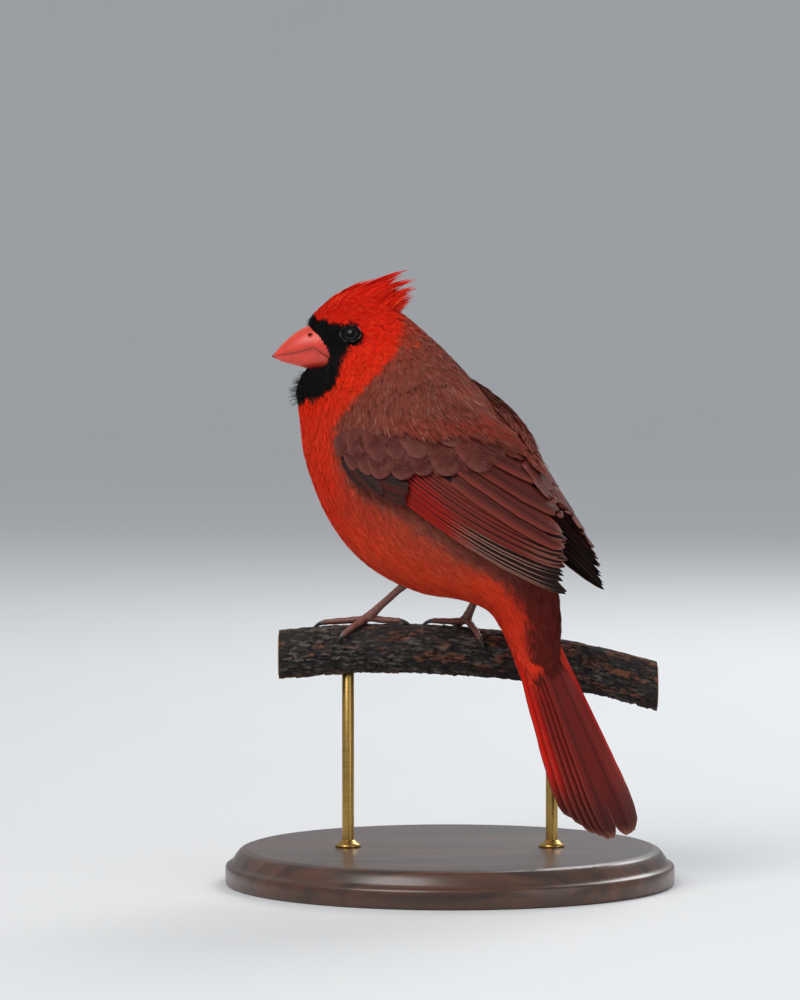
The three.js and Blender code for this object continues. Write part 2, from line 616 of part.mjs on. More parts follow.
// Toes leave a knuckle over the branch and bend down round it.
function toePath(leg, toe) {
  const { foot, turn } = leg;
  const flip = leg.side === "left" ? 1 : -1;
  const way = rad(BODY_YAW + turn + flip * toe.way);
  const steps = 6;
  return Array.from({ length: steps + 1 }, (_, i) => {
    const gone = (toe.long * i) / steps;
    const settle = Math.exp(-gone / 2.2);
    const x = foot.x - gone * Math.cos(way);
    const round = (-foot.y - gone * Math.sin(way)) / (BRANCH_RADIUS + TOE_RADIUS);
    return onBranch(x, round, TOE_RADIUS + GAP + 1.2 * settle);
  });
}

const knucklePoint = (leg) => onBranch(leg.foot.x, -leg.foot.y / BRANCH_RADIUS, TOE_RADIUS + GAP + 1.1);

function foot(leg, grow) {
  const toes = TOES.map((toe) => {
    const path = toePath(leg, toe);
    const taper = (i) => 1.05 - 0.25 * (i / (path.length - 1)) + 0.06 * (i % 2);
    return tube(path, path.map((_, i) => TOE_RADIUS * taper(i) + grow), 7);
  });
  return join([ball(...knucklePoint(leg).toArray(), KNUCKLE_RADIUS + grow, 10, 6), ...toes]);
}

function claw(leg, toe) {
  const path = toePath(leg, toe);
  const tip = path.at(-1);
  const along = tip.clone().sub(path.at(-2)).normalize();
  const centre = new THREE.Vector3(tip.x, 0, branchZ(tip.x));
  const inwards = centre.sub(tip).setX(0).normalize();
  const start = tip.clone().addScaledVector(along, GAP);
  const curve = [0, 0.25, 0.5, 0.75, 1].map((place) =>
    start
      .clone()
      .addScaledVector(along, CLAW_LONG * Math.sin(place * 1.1) * 0.9)
      .addScaledVector(inwards, CLAW_LONG * (1 - Math.cos(place * 1.1)) * 0.75),
  );
  return tube(curve, [0.8, 0.72, 0.56, 0.36, 0.12], 7);
}

function tarsus(leg, around) {
  const top = new THREE.Vector3(...leg.heel);
  const start = knucklePoint(leg);
  const path = [0, 0.12, 0.35, 0.7, 1].map((place) => start.clone().lerp(top, place));
  const radii = [1.4, 1.15, 0.96, 1.04, 1.28].map((share) => share * TARSUS_RADIUS);
  return tube(path, radii, 10).subtract(around).subtract(foot(leg, GAP));
}

const finish = (color, roughness, metalness = 0) =>
  new THREE.MeshStandardMaterial({ color, roughness, metalness });
const RED = finish(0xc8200f, 0.8);
const MANTLE = finish(0x7a2b22, 0.8);
const BILL = finish(0xe0452f, 0.4);
const EYE_DARK = finish(0x120d0c, 0.1);
const SKIN = finish(0x7d4a40, 0.6);
const CLAW = finish(0x2c1f1b, 0.4);
const BARK = finish(0x3c2a20, 0.95);
const WOOD = finish(0x3b2315, 0.45);
const BRASS = finish(0xb08d3f, 0.3, 1);

const skin = body(0);
const around = body(GAP);
const branchSpace = branch(GAP);
const bird = new THREE.Group();

const headBody = join([cutAt(skin, NECK_RING, false), crest(), lid(1), lid(-1)])
  .subtract(billSpace(0))
  .subtract(bill(GAP))
  .subtract(ball(EYE.x, eyeY(1), EYE.z, EYE.radius + GAP))
  .subtract(ball(EYE.x, eyeY(-1), EYE.z, EYE.radius + GAP));
bird.add(mesh("head", cutAt(headBody, NECK_RING, false), RED));
bird.add(mesh("neck", cutAt(cutAt(skin, NECK_RING, true), TORSO_RING, false), RED));
bird.add(mesh("torso", cutAt(cutAt(skin, TORSO_RING, true), RUMP_RING, false), RED));

bird.add(mesh("rump", cutAt(cutAt(skin, RUMP_RING, true), TAIL_RING, false), RED));
bird.add(mesh("tail", tail(), RED));

const nostrils = [1, -1].map((side) =>
  ball(NOSTRIL.x, HEAD_Y - side * NOSTRIL.side, NOSTRIL.z, NOSTRIL.radius, 8, 6));
const billBody = bill(0).intersect(billSpace(GAP)).subtract(join(nostrils));
bird.add(mesh("bill_upper", billBody.intersect(mouthHalf(true)), BILL));
bird.add(mesh("bill_lower", billBody.intersect(mouthHalf(false)), BILL));

for (const [name, side] of [["left", 1], ["right", -1]]) {
  bird.add(mesh("eye_" + name, ball(EYE.x, eyeY(side), EYE.z, EYE.radius), EYE_DARK));
  bird.add(mesh("wing_" + name, wing(side, around), MANTLE));
}

for (const leg of LEGS) {
  bird.add(mesh("tarsus_" + leg.side, tarsus(leg, around), SKIN));
  bird.add(mesh("foot_" + leg.side, foot(leg, 0).subtract(branchSpace), SKIN));
  for (const toe of TOES) {
    const clear = claw(leg, toe).subtract(branchSpace);
    bird.add(mesh("claw_" + leg.side + "_" + toe.name, clear, CLAW));
  }
}

const holes = ROD_X.map((x) => rod(x, ROD_RADIUS + GAP, BASE_HEIGHT - ROD_SOCKET,
  branchZ(x) - BRANCH_RADIUS + ROD_SOCKET));
const stand = new THREE.Group();
stand.add(mesh("perch_branch", branch(0).subtract(join(holes)), BARK));
stand.add(mesh("stand_base", base().subtract(join(holes)), WOOD));
ROD_X.forEach((x, i) => {
  const top = branchZ(x) - BRANCH_RADIUS + ROD_SOCKET - GAP;
  const bar = rod(x, ROD_RADIUS, BASE_HEIGHT - ROD_SOCKET + GAP, top);
  stand.add(mesh("stand_rod_" + ["left", "right"][i], bar, BRASS));
});

const model = new THREE.Group();
model.add(bird, stand);
export default model;
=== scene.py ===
import math
import bmesh
import bpy
import numpy as np
from mathutils import Matrix, Vector, kdtree, noise


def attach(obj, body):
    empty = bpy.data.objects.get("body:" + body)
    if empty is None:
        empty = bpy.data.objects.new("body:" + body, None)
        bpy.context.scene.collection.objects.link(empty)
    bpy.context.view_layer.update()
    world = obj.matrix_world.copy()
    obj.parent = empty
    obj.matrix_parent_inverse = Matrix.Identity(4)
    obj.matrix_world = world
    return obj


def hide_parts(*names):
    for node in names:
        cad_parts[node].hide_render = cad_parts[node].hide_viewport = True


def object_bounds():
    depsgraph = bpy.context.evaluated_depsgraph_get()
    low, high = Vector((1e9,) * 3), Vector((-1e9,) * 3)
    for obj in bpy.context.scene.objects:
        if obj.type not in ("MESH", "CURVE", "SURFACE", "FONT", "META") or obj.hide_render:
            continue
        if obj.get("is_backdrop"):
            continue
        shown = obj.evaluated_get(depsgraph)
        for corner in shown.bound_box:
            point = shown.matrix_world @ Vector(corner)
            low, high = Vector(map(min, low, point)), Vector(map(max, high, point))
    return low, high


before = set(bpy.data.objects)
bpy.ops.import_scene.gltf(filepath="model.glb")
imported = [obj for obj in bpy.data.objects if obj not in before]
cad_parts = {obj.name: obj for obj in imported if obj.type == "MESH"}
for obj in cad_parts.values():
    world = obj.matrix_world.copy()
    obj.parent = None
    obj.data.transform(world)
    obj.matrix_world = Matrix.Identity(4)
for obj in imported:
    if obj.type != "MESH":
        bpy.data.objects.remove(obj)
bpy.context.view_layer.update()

# The bird's body under its feathers. A real one is skin over muscle, kept here as one closed skin that
# runs from the face to the root of the tail, with a hollow for the bill. It is worked out in millimetres
# from rings along the body, each with its middle's x and z, the lean of its back away from the vertical,
# half its depth, half its width, its turn about the vertical and how far it is set to its under side.
MM = 0.001
BODY_RINGS = np.array([
    (-49.0, 178.6, -6, 4.0, 3.0, 0, 0),
    (-47.2, 178.7, 0, 8.7, 5.0, 0, 0),
    (-46.4, 179.7, 17, 13.6, 6.0, 0, 0),
    (-43.5, 179.7, 26, 18.1, 7.4, 0, 0),
    (-38.5, 178.2, 33, 22.6, 9.8, 2, 0),
    (-33.5, 172.7, 43, 24.6, 13.0, 6, 0),
    (-29.4, 166.8, 49, 27.1, 17.0, 13, 0),
    (-25.2, 160.0, 53, 29.9, 21.4, 20, 0),
    (-19.5, 150.8, 55, 32.6, 25.0, 26, 0),
    (-13.3, 140.5, 56, 34.2, 26.6, 28, 0),
    (-6.5, 129.3, 56, 33.2, 26.6, 28, 0),
    (1.3, 118.0, 58, 29.2, 24.6, 28, 0),
    (10.5, 108.5, 60, 23.1, 20.6, 28, 0),
    (18.3, 102.0, 66, 16.4, 15.6, 30, 0),
    (24.3, 94.8, 74, 11.8, 11.6, 36, 0),
    (28.6, 86.3, 72, 9.2, 9.6, 42, 1.8),
    (32.0, 78.0, 71, 6.4, 8.4, 45, 4.8),
    (35.3, 69.5, 70, 4.0, 7.6, 45, 6.2),
    (38.8, 60.0, 69, 1.4, 5.4, 45, 5.0),
])
BODY_X, BODY_Y, BODY_YAW = -8.0, -2.0, 28.0
MIDDLE_RING = 10
LAST_RING = len(BODY_RINGS) - 1
SKIN_DEPTH = 1.0


def smooth(low, high, value):
    share = np.clip((value - low) / (high - low), 0, 1)
    return share * share * (3 - 2 * share)


def unit(vectors):
    return vectors / np.maximum(np.linalg.norm(vectors, axis=-1, keepdims=True), 1e-9)


def through(rows, place):
    """Values that pass smoothly through equally spaced rows of numbers, at places counted in rows."""
    place = np.clip(np.asarray(place, float), 0, len(rows) - 1)
    start = np.minimum(place.astype(int), len(rows) - 2)
    part = (place - start)[..., None]
    a, b, c, d = (rows[np.clip(start + k, 0, len(rows) - 1)] for k in (-1, 0, 1, 2))
    bend = 2 * a - 5 * b + 4 * c - d + part * (3 * (b - c) + d - a)
    return b + 0.5 * part * (c - a + part * bend)


def axes(yaw, lean):
    """Directions of a ring: ahead, left of the bird, and towards its back."""
    yaw, lean = np.radians(yaw), np.radians(lean)
    none = np.zeros_like(yaw)
    ahead = np.stack([-np.cos(yaw), np.sin(yaw), none], -1)
    left = np.stack([-np.sin(yaw), -np.cos(yaw), none], -1)
    up = np.stack([none, none, none + 1], -1)
    return ahead, left, up * np.cos(lean)[..., None] - ahead * np.sin(lean)[..., None]


body_y = np.zeros(len(BODY_RINGS))
body_y[MIDDLE_RING] = BODY_Y - math.tan(math.radians(BODY_YAW)) * (BODY_RINGS[MIDDLE_RING][0] - BODY_X)


def next_depth(there, here):
    turn = math.radians((BODY_RINGS[here][5] + BODY_RINGS[there][5]) / 2)
    body_y[there] = body_y[here] - math.tan(turn) * (BODY_RINGS[there][0] - BODY_RINGS[here][0])


for ring in range(MIDDLE_RING, 0, -1):
    next_depth(ring - 1, ring)
for ring in range(MIDDLE_RING, LAST_RING):
    next_depth(ring + 1, ring)
HEAD_Y = body_y[2]
body_rows = np.column_stack([BODY_RINGS[:, :1], body_y, BODY_RINGS[:, 1:]])


def body(place, turn):
    """Points of the body's surface: place along it in rings, turn from the back round to the left."""
    x, y, z, lean, deep, wide, yaw, under = np.moveaxis(through(body_rows, place), -1, 0)
    ahead, left, back = axes(yaw, lean)
    middle = np.stack([x, y, z], -1) - back * under[..., None]
    return middle + back * (deep * np.cos(turn))[..., None] + left * (wide * np.sin(turn))[..., None]


def lie(surface, u, v, sign=1):
    """A surface's points with its two directions and its outward normal."""
    step = 0.01
    along = (surface(u + step, v) - surface(u - step, v)) / (2 * step)
    across = (surface(u, v + step) - surface(u, v - step)) / (2 * step)
    return surface(u, v), along, across, unit(np.cross(across, along)) * sign


def paint(red, green, blue):
    """A colour as the eye sees it, 0 to 255, as the linear numbers that a material takes."""
    share = np.array([red, green, blue]) / 255
    return np.where(share <= 0.04045, share / 12.92, ((share + 0.055) / 1.055) ** 2.4)


def blend(a, b, share):
    share = np.asarray(share)[..., None]
    return a * (1 - share) + b * share


CROWN = paint(232, 30, 10)
CHEEK = paint(238, 42, 14)
BREAST = paint(230, 52, 26)
BELLY = paint(232, 70, 38)
MASK = paint(14, 11, 11)
MANTLE = paint(144, 72, 58)
NAPE = paint(170, 62, 44)
VENT = paint(216, 54, 30)
COVERTS = paint(105, 32, 26)
# Painted shade: the darker brown of the body just under the folded wing.
UNDER_WING_SHADE = paint(128, 60, 46)
# The black face in x and z: over the bill, round the eye, down the cheek and out under the chin.
MASK_LINE = np.array([
    (-46.8, 190.2), (-43, 188.0), (-37.5, 186.3), (-32.5, 186.4), (-29.3, 184.3), (-29.6, 180.8),
    (-34.4, 176.8), (-36.6, 172.5), (-37.6, 168.0), (-39.6, 164.6), (-44.5, 161.2), (-52.0, 158.6),
    (-60.0, 170.0), (-58.0, 189.0),
])
# How far the brown of the back comes down each side, as places along the body and turns from the back.
MANTLE_PLACES = [4.4, 5.3, 5.9, 6.4, 6.8, 7.2, 7.8, 9.1, 10.6, 11.9, 13.1, 15.0, 18.0]
MANTLE_TURNS = [0.0, 0.30, 0.66, 0.95, 1.50, 1.85, 1.95, 1.98, 1.66, 1.52, 1.30, 1.10, 1.10]


def inside_line(line, x, z):
    """How far places lie inside a closed line, below zero outside it."""
    gap = np.full(x.shape, 1e9)
    inside = np.zeros(x.shape, bool)
    for (ax, az), (bx, bz) in zip(line, np.roll(line, -1, axis=0)):
        run, rise = bx - ax, bz - az
        share = np.clip(((x - ax) * run + (z - az) * rise) / (run * run + rise * rise), 0, 1)
        gap = np.minimum(gap, np.hypot(x - ax - share * run, z - az - share * rise))
        crosses = (az > z) != (bz > z)
        inside ^= crosses & (x < run * (z - az) / (rise if rise else 1e-9) + ax)
    return np.where(inside, gap, -gap)


def from_back(turn):
    """Turns counted from the middle of the back down either side."""
    return np.abs((turn + np.pi) % (2 * np.pi) - np.pi)


def markings(points, place, turn):
    """The colour of the plumage at places on the body."""
    side = from_back(turn)
    tint = blend(BREAST, BELLY, smooth(8.5, 11.5, place))
    tint = blend(tint, VENT, smooth(12.5, 14.5, place))
    tint = blend(CHEEK, tint, smooth(5.4, 7.4, place + 0.5 * (side - 1.6)))
    tint = blend(tint, CROWN, smooth(1.7, 1.1, side) * smooth(6.2, 4.8, place))
    edge = np.interp(place, MANTLE_PLACES, MANTLE_TURNS)
    brown = smooth(0.14, -0.14, side - edge)
    mantle = blend(NAPE, MANTLE, smooth(5.4, 7.6, place))
    mantle = blend(mantle, COVERTS, smooth(12.5, 14.2, place))
    tint = blend(tint, mantle, brown * smooth(4.4, 5.4, place))
    # Painted shade: a darker band on the body just below the edge of the folded wing.
    under_wing_shade = smooth(0.55, 0.1, side - edge) * smooth(8.6, 9.6, place) * smooth(13.0, 12.0, place)
    tint = blend(tint, UNDER_WING_SHADE, 0.5 * under_wing_shade * (1 - brown))
    face = inside_line(MASK_LINE, points[..., 0], points[..., 2])
    return blend(tint, MASK, smooth(-0.25, 0.25, face) * (place < 6.5))


def sheet(rows, columns):
    """The corners of a grid of faces, from a bmesh grid: shares along and across, and the faces."""
    mesh = bmesh.new()
    bmesh.ops.create_grid(mesh, x_segments=columns, y_segments=rows, size=1)
    spots = np.array([v.co[:2] for v in mesh.verts])
    faces = np.array([[v.index for v in face.verts] for face in mesh.faces])
    mesh.free()
    return (spots[:, 1] + 1) / 2, spots[:, 0], faces


def mesh_piece(name, points, faces, material, tint, vane=None, bake=None):
    """A piece of the model from points in millimetres, with its colours and its two UV maps."""
    mesh = bpy.data.meshes.new(name)
    corners = np.concatenate([group.ravel() for group in faces]).astype(np.int32)
    sizes = np.concatenate([np.full(len(group), group.shape[1]) for group in faces])
    starts = np.concatenate([[0], np.cumsum(sizes)[:-1]]).astype(np.int32)
    mesh.vertices.add(len(points))
    mesh.vertices.foreach_set("co", (points * MM).astype(np.float32).ravel())
    mesh.loops.add(len(corners))
    mesh.loops.foreach_set("vertex_index", corners)
    mesh.polygons.add(len(sizes))
    mesh.polygons.foreach_set("loop_start", starts)
    mesh.update(calc_edges=True)
    colours = mesh.color_attributes.new("tint", "FLOAT_COLOR", "POINT")
    filled = np.column_stack([tint, np.ones(len(tint))])
    colours.data.foreach_set("color", filled.astype(np.float32).ravel())
    for label, places in (("OFBake", bake), ("Vane", vane)):
        if places is not None:
            layer = mesh.uv_layers.new(name=label)
            layer.data.foreach_set("uv", places[corners].astype(np.float32).ravel())
    mesh.polygons.foreach_set("use_smooth", np.ones(len(sizes), bool))
    mesh.materials.append(material)
    made = bpy.data.objects.new(name, mesh)
    bpy.context.scene.collection.objects.link(made)
    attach(made, "root")
    return made


def put(tree, kind, inputs=(), **settings):
    """Puts a node in a tree with its settings. Each input takes a value or another node's output."""
    made = tree.nodes.new(kind)
    for name, value in settings.items():
        setattr(made, name, value)
    for socket, value in dict(inputs).items():
        if isinstance(value, bpy.types.NodeSocket):
            tree.links.new(value, made.inputs[socket])
        else:
            made.inputs[socket].default_value = value
    return made


def new_group(name, inputs, outputs):
    """A node group with named inputs and outputs, and what comes in through its inputs."""
    group = bpy.data.node_groups.new(name, "ShaderNodeTree")
    for way, sockets in (("INPUT", inputs), ("OUTPUT", outputs)):
        for label, kind in sockets.items():
            group.interface.new_socket(label, in_out=way, socket_type="NodeSocket" + kind)
    return group, put(group, "NodeGroupInput").outputs


def shade_group(name, inputs, pattern):
    """A node group that varies a tint by a pattern of noise, and gives the pattern as a height."""
    group, given = new_group(
        name, {"Tint": "Color", "Contrast": "Float", **inputs}, {"Color": "Color", "Height": "Float"})
    height = pattern(group, given)
    shade = put(group, "ShaderNodeMapRange", {
        "Value": height, "From Min": 0.3, "From Max": 0.7, "To Min": -1.0, "To Max": 1.0})
    swing = put(group, "ShaderNodeMath", {
        0: shade.outputs[0], 1: given["Contrast"], 2: 1.0}, operation="MULTIPLY_ADD")
    scaled = put(group, "ShaderNodeVectorMath", {
        0: given["Tint"], "Scale": swing.outputs[0]}, operation="SCALE")
    put(group, "NodeGroupOutput", {"Color": scaled.outputs[0], "Height": height})
    return group


def barb_lines(group, given):
    """Fine lines that run along a feather, from the places across and along its vane."""
    place = put(group, "ShaderNodeUVMap", uv_map="Vane")
    parts = put(group, "ShaderNodeSeparateXYZ", {0: place.outputs["UV"]}).outputs
    across = put(group, "ShaderNodeMath", {0: parts[0], 1: given["Lines"]}, operation="MULTIPLY")
    along = put(group, "ShaderNodeMath", {0: parts[1], 1: 1.7}, operation="MULTIPLY")
    spot = put(group, "ShaderNodeCombineXYZ", {0: across.outputs[0], 1: along.outputs[0]})
    return put(group, "ShaderNodeTexNoise", {
        "Vector": spot.outputs[0], "Scale": 1.0, "Detail": 2.0}).outputs["Fac"]


barbs = shade_group("barbs", {"Lines": "Float"}, barb_lines)


def new_material(name, **finish):
    """A material, with its shader set to a finish, and its node tree."""
    material = bpy.data.materials.new(name)
    material.use_nodes = True
    tree = material.node_tree
    shader = tree.nodes["Principled BSDF"]
    for socket, value in finish.items():
        shader.inputs[socket.replace("_", " ")].default_value = value
    return material, tree, shader


def tinted(name, group, values, bump, **finish):
    """A material with a piece's own colours, varied and given relief by a node group."""
    material, tree, shader = new_material(name, **finish)
    tint = put(tree, "ShaderNodeAttribute", attribute_name="tint")
    varied = put(tree, "ShaderNodeGroup", {"Tint": tint.outputs["Color"], **values}, node_tree=group)
    relief = put(tree, "ShaderNodeBump", {
        "Strength": bump, "Distance": 0.0002, "Height": varied.outputs["Height"]})
    tree.links.new(varied.outputs["Color"], shader.inputs["Base Color"])
    tree.links.new(relief.outputs["Normal"], shader.inputs["Normal"])
    return material


def plumage(name, lines, contrast, roughness, bump):
    """A feather material: the plumage's own colours with fine barbs."""
    return tinted(
        name, barbs, {"Lines": lines, "Contrast": contrast}, bump,
        Roughness=roughness, Specular_IOR_Level=0.12)


def skin_inset(place):
    """How far the skin lies inside the bird's outline, which is the depth of its coat."""
    return SKIN_DEPTH * smooth(-0.5, 1.5, place) * smooth(18.4, 15.5, place)


def body_patch(along, round_it):
    """Places on the unwrapped skin, from shares along the body and round it."""
    return np.column_stack([0.02 + 0.96 * along, 0.02 + 0.96 * round_it])


skin_plumage = plumage("down under the feathers", 90, 0.3, 0.9, 0.4)
skin_along, skin_round, skin_faces = sheet(170, 110)
skin_place = skin_along * LAST_RING
skin_turn = (skin_round + 1) * np.pi
skin_point, _, _, skin_out = lie(body, skin_place, skin_turn)
skin = mesh_piece(
    "body_skin", skin_point - skin_out * skin_inset(skin_place)[:, None], [skin_faces], skin_plumage,
    markings(skin_point, skin_place, skin_turn) * 0.45,
    np.column_stack([skin_round * 3, skin_place]), body_patch(skin_along, (skin_round + 1) / 2))

# The hollow of the face, where the bill comes out of the skin. It is cut in front of a line in x and z
# and closes round the bill sideways.
FACE_LINE = [
    (-50.0, 190.0), (-47.8, 185.8), (-44.0, 182.3), (-40.8, 177.4), (-40.4, 174.4), (-41.6, 171.0),
    (-47.6, 171.3), (-62.0, 171.3), (-62.0, 190.0),
]
FACE_MIDDLE, FACE_WIDE, FACE_SLOPE = 178.0, 9.6, 3.0


def close_ends(mesh):
    """Closes a skin made from a grid: its long edges are sewn and its open ends filled."""
    bmesh.ops.remove_doubles(mesh, verts=mesh.verts, dist=1e-6)
    bmesh.ops.holes_fill(mesh, edges=[edge for edge in mesh.edges if edge.is_boundary], sides=0)
    bmesh.ops.recalc_face_normals(mesh, faces=mesh.faces)


def edit(piece, change):
    """Changes a finished piece's mesh."""
    mesh = bmesh.new()
    mesh.from_mesh(piece.data)
    change(mesh)
    mesh.to_mesh(piece.data)
    mesh.free()


def piece_from(mesh, name):
    """An object from a mesh that is being shaped."""
    data = bpy.data.meshes.new(name)
    mesh.to_mesh(data)
    mesh.free()
    made = bpy.data.objects.new(name, data)
    bpy.context.scene.collection.objects.link(made)
    return made


edit(skin, close_ends)


def face_hollow(behind):
    """A closed body that fills the space in front of the face line, moved back by a distance."""
    mesh = bmesh.new()
    rings = []
    for share in np.linspace(-0.95, 0.95, 17):
        high, low = math.sqrt(1 - share * share), (1 - share ** 4) ** 0.25
        back = FACE_SLOPE * abs(share) ** 3 + behind
        y = HEAD_Y - FACE_WIDE * share
        ring = [
            mesh.verts.new(Vector((x + back, y, FACE_MIDDLE + max(z - FACE_MIDDLE, 0) * high
                                   + min(z - FACE_MIDDLE, 0) * low)) * MM)
            for x, z in FACE_LINE
        ]
        rings.append(ring)
    for here, there in zip(rings, rings[1:]):
        for k in range(len(here)):
            mesh.faces.new((here[k], here[k - 1], there[k - 1], there[k]))
    mesh.faces.new(rings[0])
    mesh.faces.new(reversed(rings[-1]))
    bmesh.ops.triangulate(mesh, faces=[face for face in mesh.faces if len(face.verts) > 4])
    bmesh.ops.recalc_face_normals(mesh, faces=mesh.faces)
    return piece_from(mesh, "face_hollow")


def cut_away(piece, tool):
    """Cuts a closed body out of a piece for good."""
    cut = piece.modifiers.new("cut", "BOOLEAN")
    cut.operation = "DIFFERENCE"
    cut.solver = "MANIFOLD"
    cut.object = tool
    bpy.context.view_layer.update()
    shaped = bpy.data.meshes.new_from_object(piece.evaluated_get(bpy.context.evaluated_depsgraph_get()))
    piece.modifiers.clear()
    old = piece.data
    piece.data = shaped
    bpy.data.meshes.remove(old)
    bpy.data.objects.remove(tool)


cut_away(skin, face_hollow(1.0))
# The cut leaves new corners without a colour, which take the black of the face.
for corner in skin.data.attributes["tint"].data:
    if corner.color[1] > 0.2:
        corner.color = (*MASK, 1)
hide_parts("head", "neck", "torso", "rump")

# The small feathers of the body. Each is a tuft of loose barbs, rooted in the skin and lying
# back over the next ones. They are scattered evenly and closest together on the face, and each is laid
# along the body so that it follows its curves.
EYE_X, EYE_Z, EYE_SIDE, EYE_RADIUS = -32.7, 182.9, 8.7, 3.2
EYE_LONG, EYE_HIGH = 3.75, 2.85


def from_eye(points):
    """How far places lie from the middle of an eye, 1 on the rim of its lids."""
    return np.hypot((points[..., 0] - EYE_X) / EYE_LONG, (points[..., 2] - EYE_Z) / EYE_HIGH)


def scatter(surface, sign, low, high, count, spacing, seed):
    """Places spread evenly over a surface, no two closer than the spacing at each."""
    chance = np.random.default_rng(seed)
    u = chance.uniform(low[0], high[0], count)
    v = chance.uniform(low[1], high[1], count)
    points, along, across, _ = lie(surface, u, v, sign)
    area = np.linalg.norm(np.cross(along, across), axis=1)
    kept = chance.random(count) < area / area.max()
    u, v, points = u[kept], v[kept], points[kept]
    reach = spacing(u, v)
    tree = kdtree.KDTree(len(points))
    for i, point in enumerate(points):
        tree.insert(point, i)
    tree.balance()
    free = np.ones(len(points), bool)
    chosen = []
    for i, point in enumerate(points):
        if free[i]:
            chosen.append(i)
            for _, near, _ in tree.find_range(point, reach[i]):
                free[near] = False
    return u[chosen], v[chosen]


def tuft_pattern(barbs, shares):
    """One small feather as loose barbs side by side. Each corner has its share along, its barb and the
    edge of it that it lies on, and each barb has its place across."""
    along, edge, quads = sheet(len(shares) - 2, 1)
    along = np.interp(along, np.linspace(0, 1, len(shares) - 1), shares[:-1])
    last = np.flatnonzero(along == along.max())
    last = last[np.argsort(edge[last])]
    tip = len(along)
    along, edge = np.append(along, shares[-1]), np.append(edge, 0)
    first = (np.arange(barbs) * len(along))[:, None, None]
    barb = np.repeat(np.arange(barbs), len(along))
    quads = (quads[None, :, ::-1] + first).reshape(-1, 4)
    tris = (np.array([[last[1], last[0], tip]])[None] + first).reshape(-1, 3)
    return np.tile(along, barbs), barb, np.tile(edge, barbs), np.linspace(-1, 1, barbs), quads, tris


class Feathers:
    """Feathers gathered into one mesh."""

    def __init__(self):
        self.points, self.tint, self.vane, self.bake = [], [], [], []
        self.quads, self.tris, self.count = [], [], 0

    def add(self, points, tint, vane, bake, quads, tris=None):
        self.quads.append(quads + self.count)
        if tris is not None:
            self.tris.append(tris + self.count)
        self.points.append(points)
        self.tint.append(tint)
        self.vane.append(vane)
        self.bake.append(bake)
        self.count += len(points)

    def piece(self, name, material, slot):
        faces = [np.concatenate(group) for group in (self.quads, self.tris) if group]
        return mesh_piece(
            name, np.concatenate(self.points), faces, material, tint=np.concatenate(self.tint),
            vane=np.concatenate(self.vane), bake=np.concatenate(self.bake))


def run_along(surface, sign, u, v, sway, length, shares, limit):
    """Paths over a surface from each root: its points, the direction to its side and its normal."""
    paths = []
    point, along, across, out = lie(surface, u, v, sign)
    way = unit(along)
    way = way * np.cos(sway)[:, None] + np.cross(out, way) * np.sin(sway)[:, None]
    gone = 0.0
    for share in shares:
        reach = length * (share - gone)
        gone = share
        aa = (along * along).sum(1)
        ac = (along * across).sum(1)
        cc = (across * across).sum(1)
        wa = (way * along).sum(1)
        wc = (way * across).sum(1)
        flat = np.maximum(aa * cc - ac * ac, 1e-6)
        u = np.clip(u + reach * (cc * wa - ac * wc) / flat, limit[0], limit[1])
        v = v + reach * (aa * wc - ac * wa) / flat
        point, along, across, out = lie(surface, u, v, sign)
        way = unit(way - out * (way * out).sum(1)[:, None])
        paths.append((point, np.cross(out, way), out))
    return [np.stack(part, 1) for part in zip(*paths)]


BARB_SHARES = [0, 0.42, 0.76, 1]
BARB_STOPS = np.array([0, 0.25, 0.5, 0.75, 1])


def plant(feathers, paths, pattern, half, low, high, root_tint, tip_tint, streak, bake, chance, loose=0.25,
          stray=0.35):
    """Adds one small feather of loose barbs on each path, from its height at the root to its height at
    the tip. A few of its barbs have the colour of the streaks."""
    point, side, out = paths
    along, barb, edge, across, quads, tris = pattern
    number, barbs = len(point), len(across)
    every = np.arange(number)
    corners, tint = np.empty((2, number, len(along), 3))
    vane, patch = np.empty((2, number, len(along), 2))
    own = 3 * chance.integers(0, 60, number)
    long = 1 - 0.20 * across ** 2 - loose * chance.random((number, barbs))
    bend = chance.normal(0, 0.22, (number, barbs))
    raised = 0.10 * chance.random((number, barbs)) + stray * chance.random((number, barbs)) ** 12
    roll = chance.normal(0, 0.35, (number, barbs))
    tone = chance.uniform(0.84, 1.14, (number, barbs))
    streaked = smooth(0.80, 0.96, chance.random((number, barbs)))
    for k in range(len(along)):
        b = barb[k]
        share = along[k] * long[:, b]
        place = share * (len(BARB_STOPS) - 1)
        start = np.minimum(np.floor(place).astype(int), len(BARB_STOPS) - 2)
        part = (place - start)[:, None]
        p, s, n = (
            path[every, start] * (1 - part) + path[every, start + 1] * part for path in (point, side, out))
        spread = half * np.interp(share, [0, 0.5, 1], [0.5, 0.95, 1.0])
        thin = half / barbs * np.interp(along[k], [0, 0.42, 0.76, 1], [1.5, 1.45, 1.0, 0.0])
        aside = spread * (across[b] + bend[:, b] * along[k] ** 2) + edge[k] * thin
        rise = low + (high - low) * share ** 0.7 + raised[:, b] * along[k] + roll[:, b] * edge[k] * thin
        corners[:, k] = p + s * aside[:, None] + n * rise[:, None]
        shade = blend(root_tint, tip_tint, smooth(0.05, 0.6, share)) * tone[:, b, None]
        tint[:, k] = blend(shade, streak, streaked[:, b] * smooth(0.1, 0.6, share))
        vane[:, k] = np.column_stack([0.5 + 0.5 * (across[b] + edge[k] / barbs) + 0 * share, own + share])
        patch[:, k] = bake + np.column_stack([
            np.full(number, 0.0014 * across[b] + 0.0003 * edge[k]), 0.003 * (share - 0.5)])
    first = (every * len(along))[:, None, None]
    feathers.add(
        corners.reshape(-1, 3), tint.reshape(-1, 3), vane.reshape(-1, 2), patch.reshape(-1, 2),
        (quads[None] + first).reshape(-1, 4), (tris[None] + first).reshape(-1, 3))


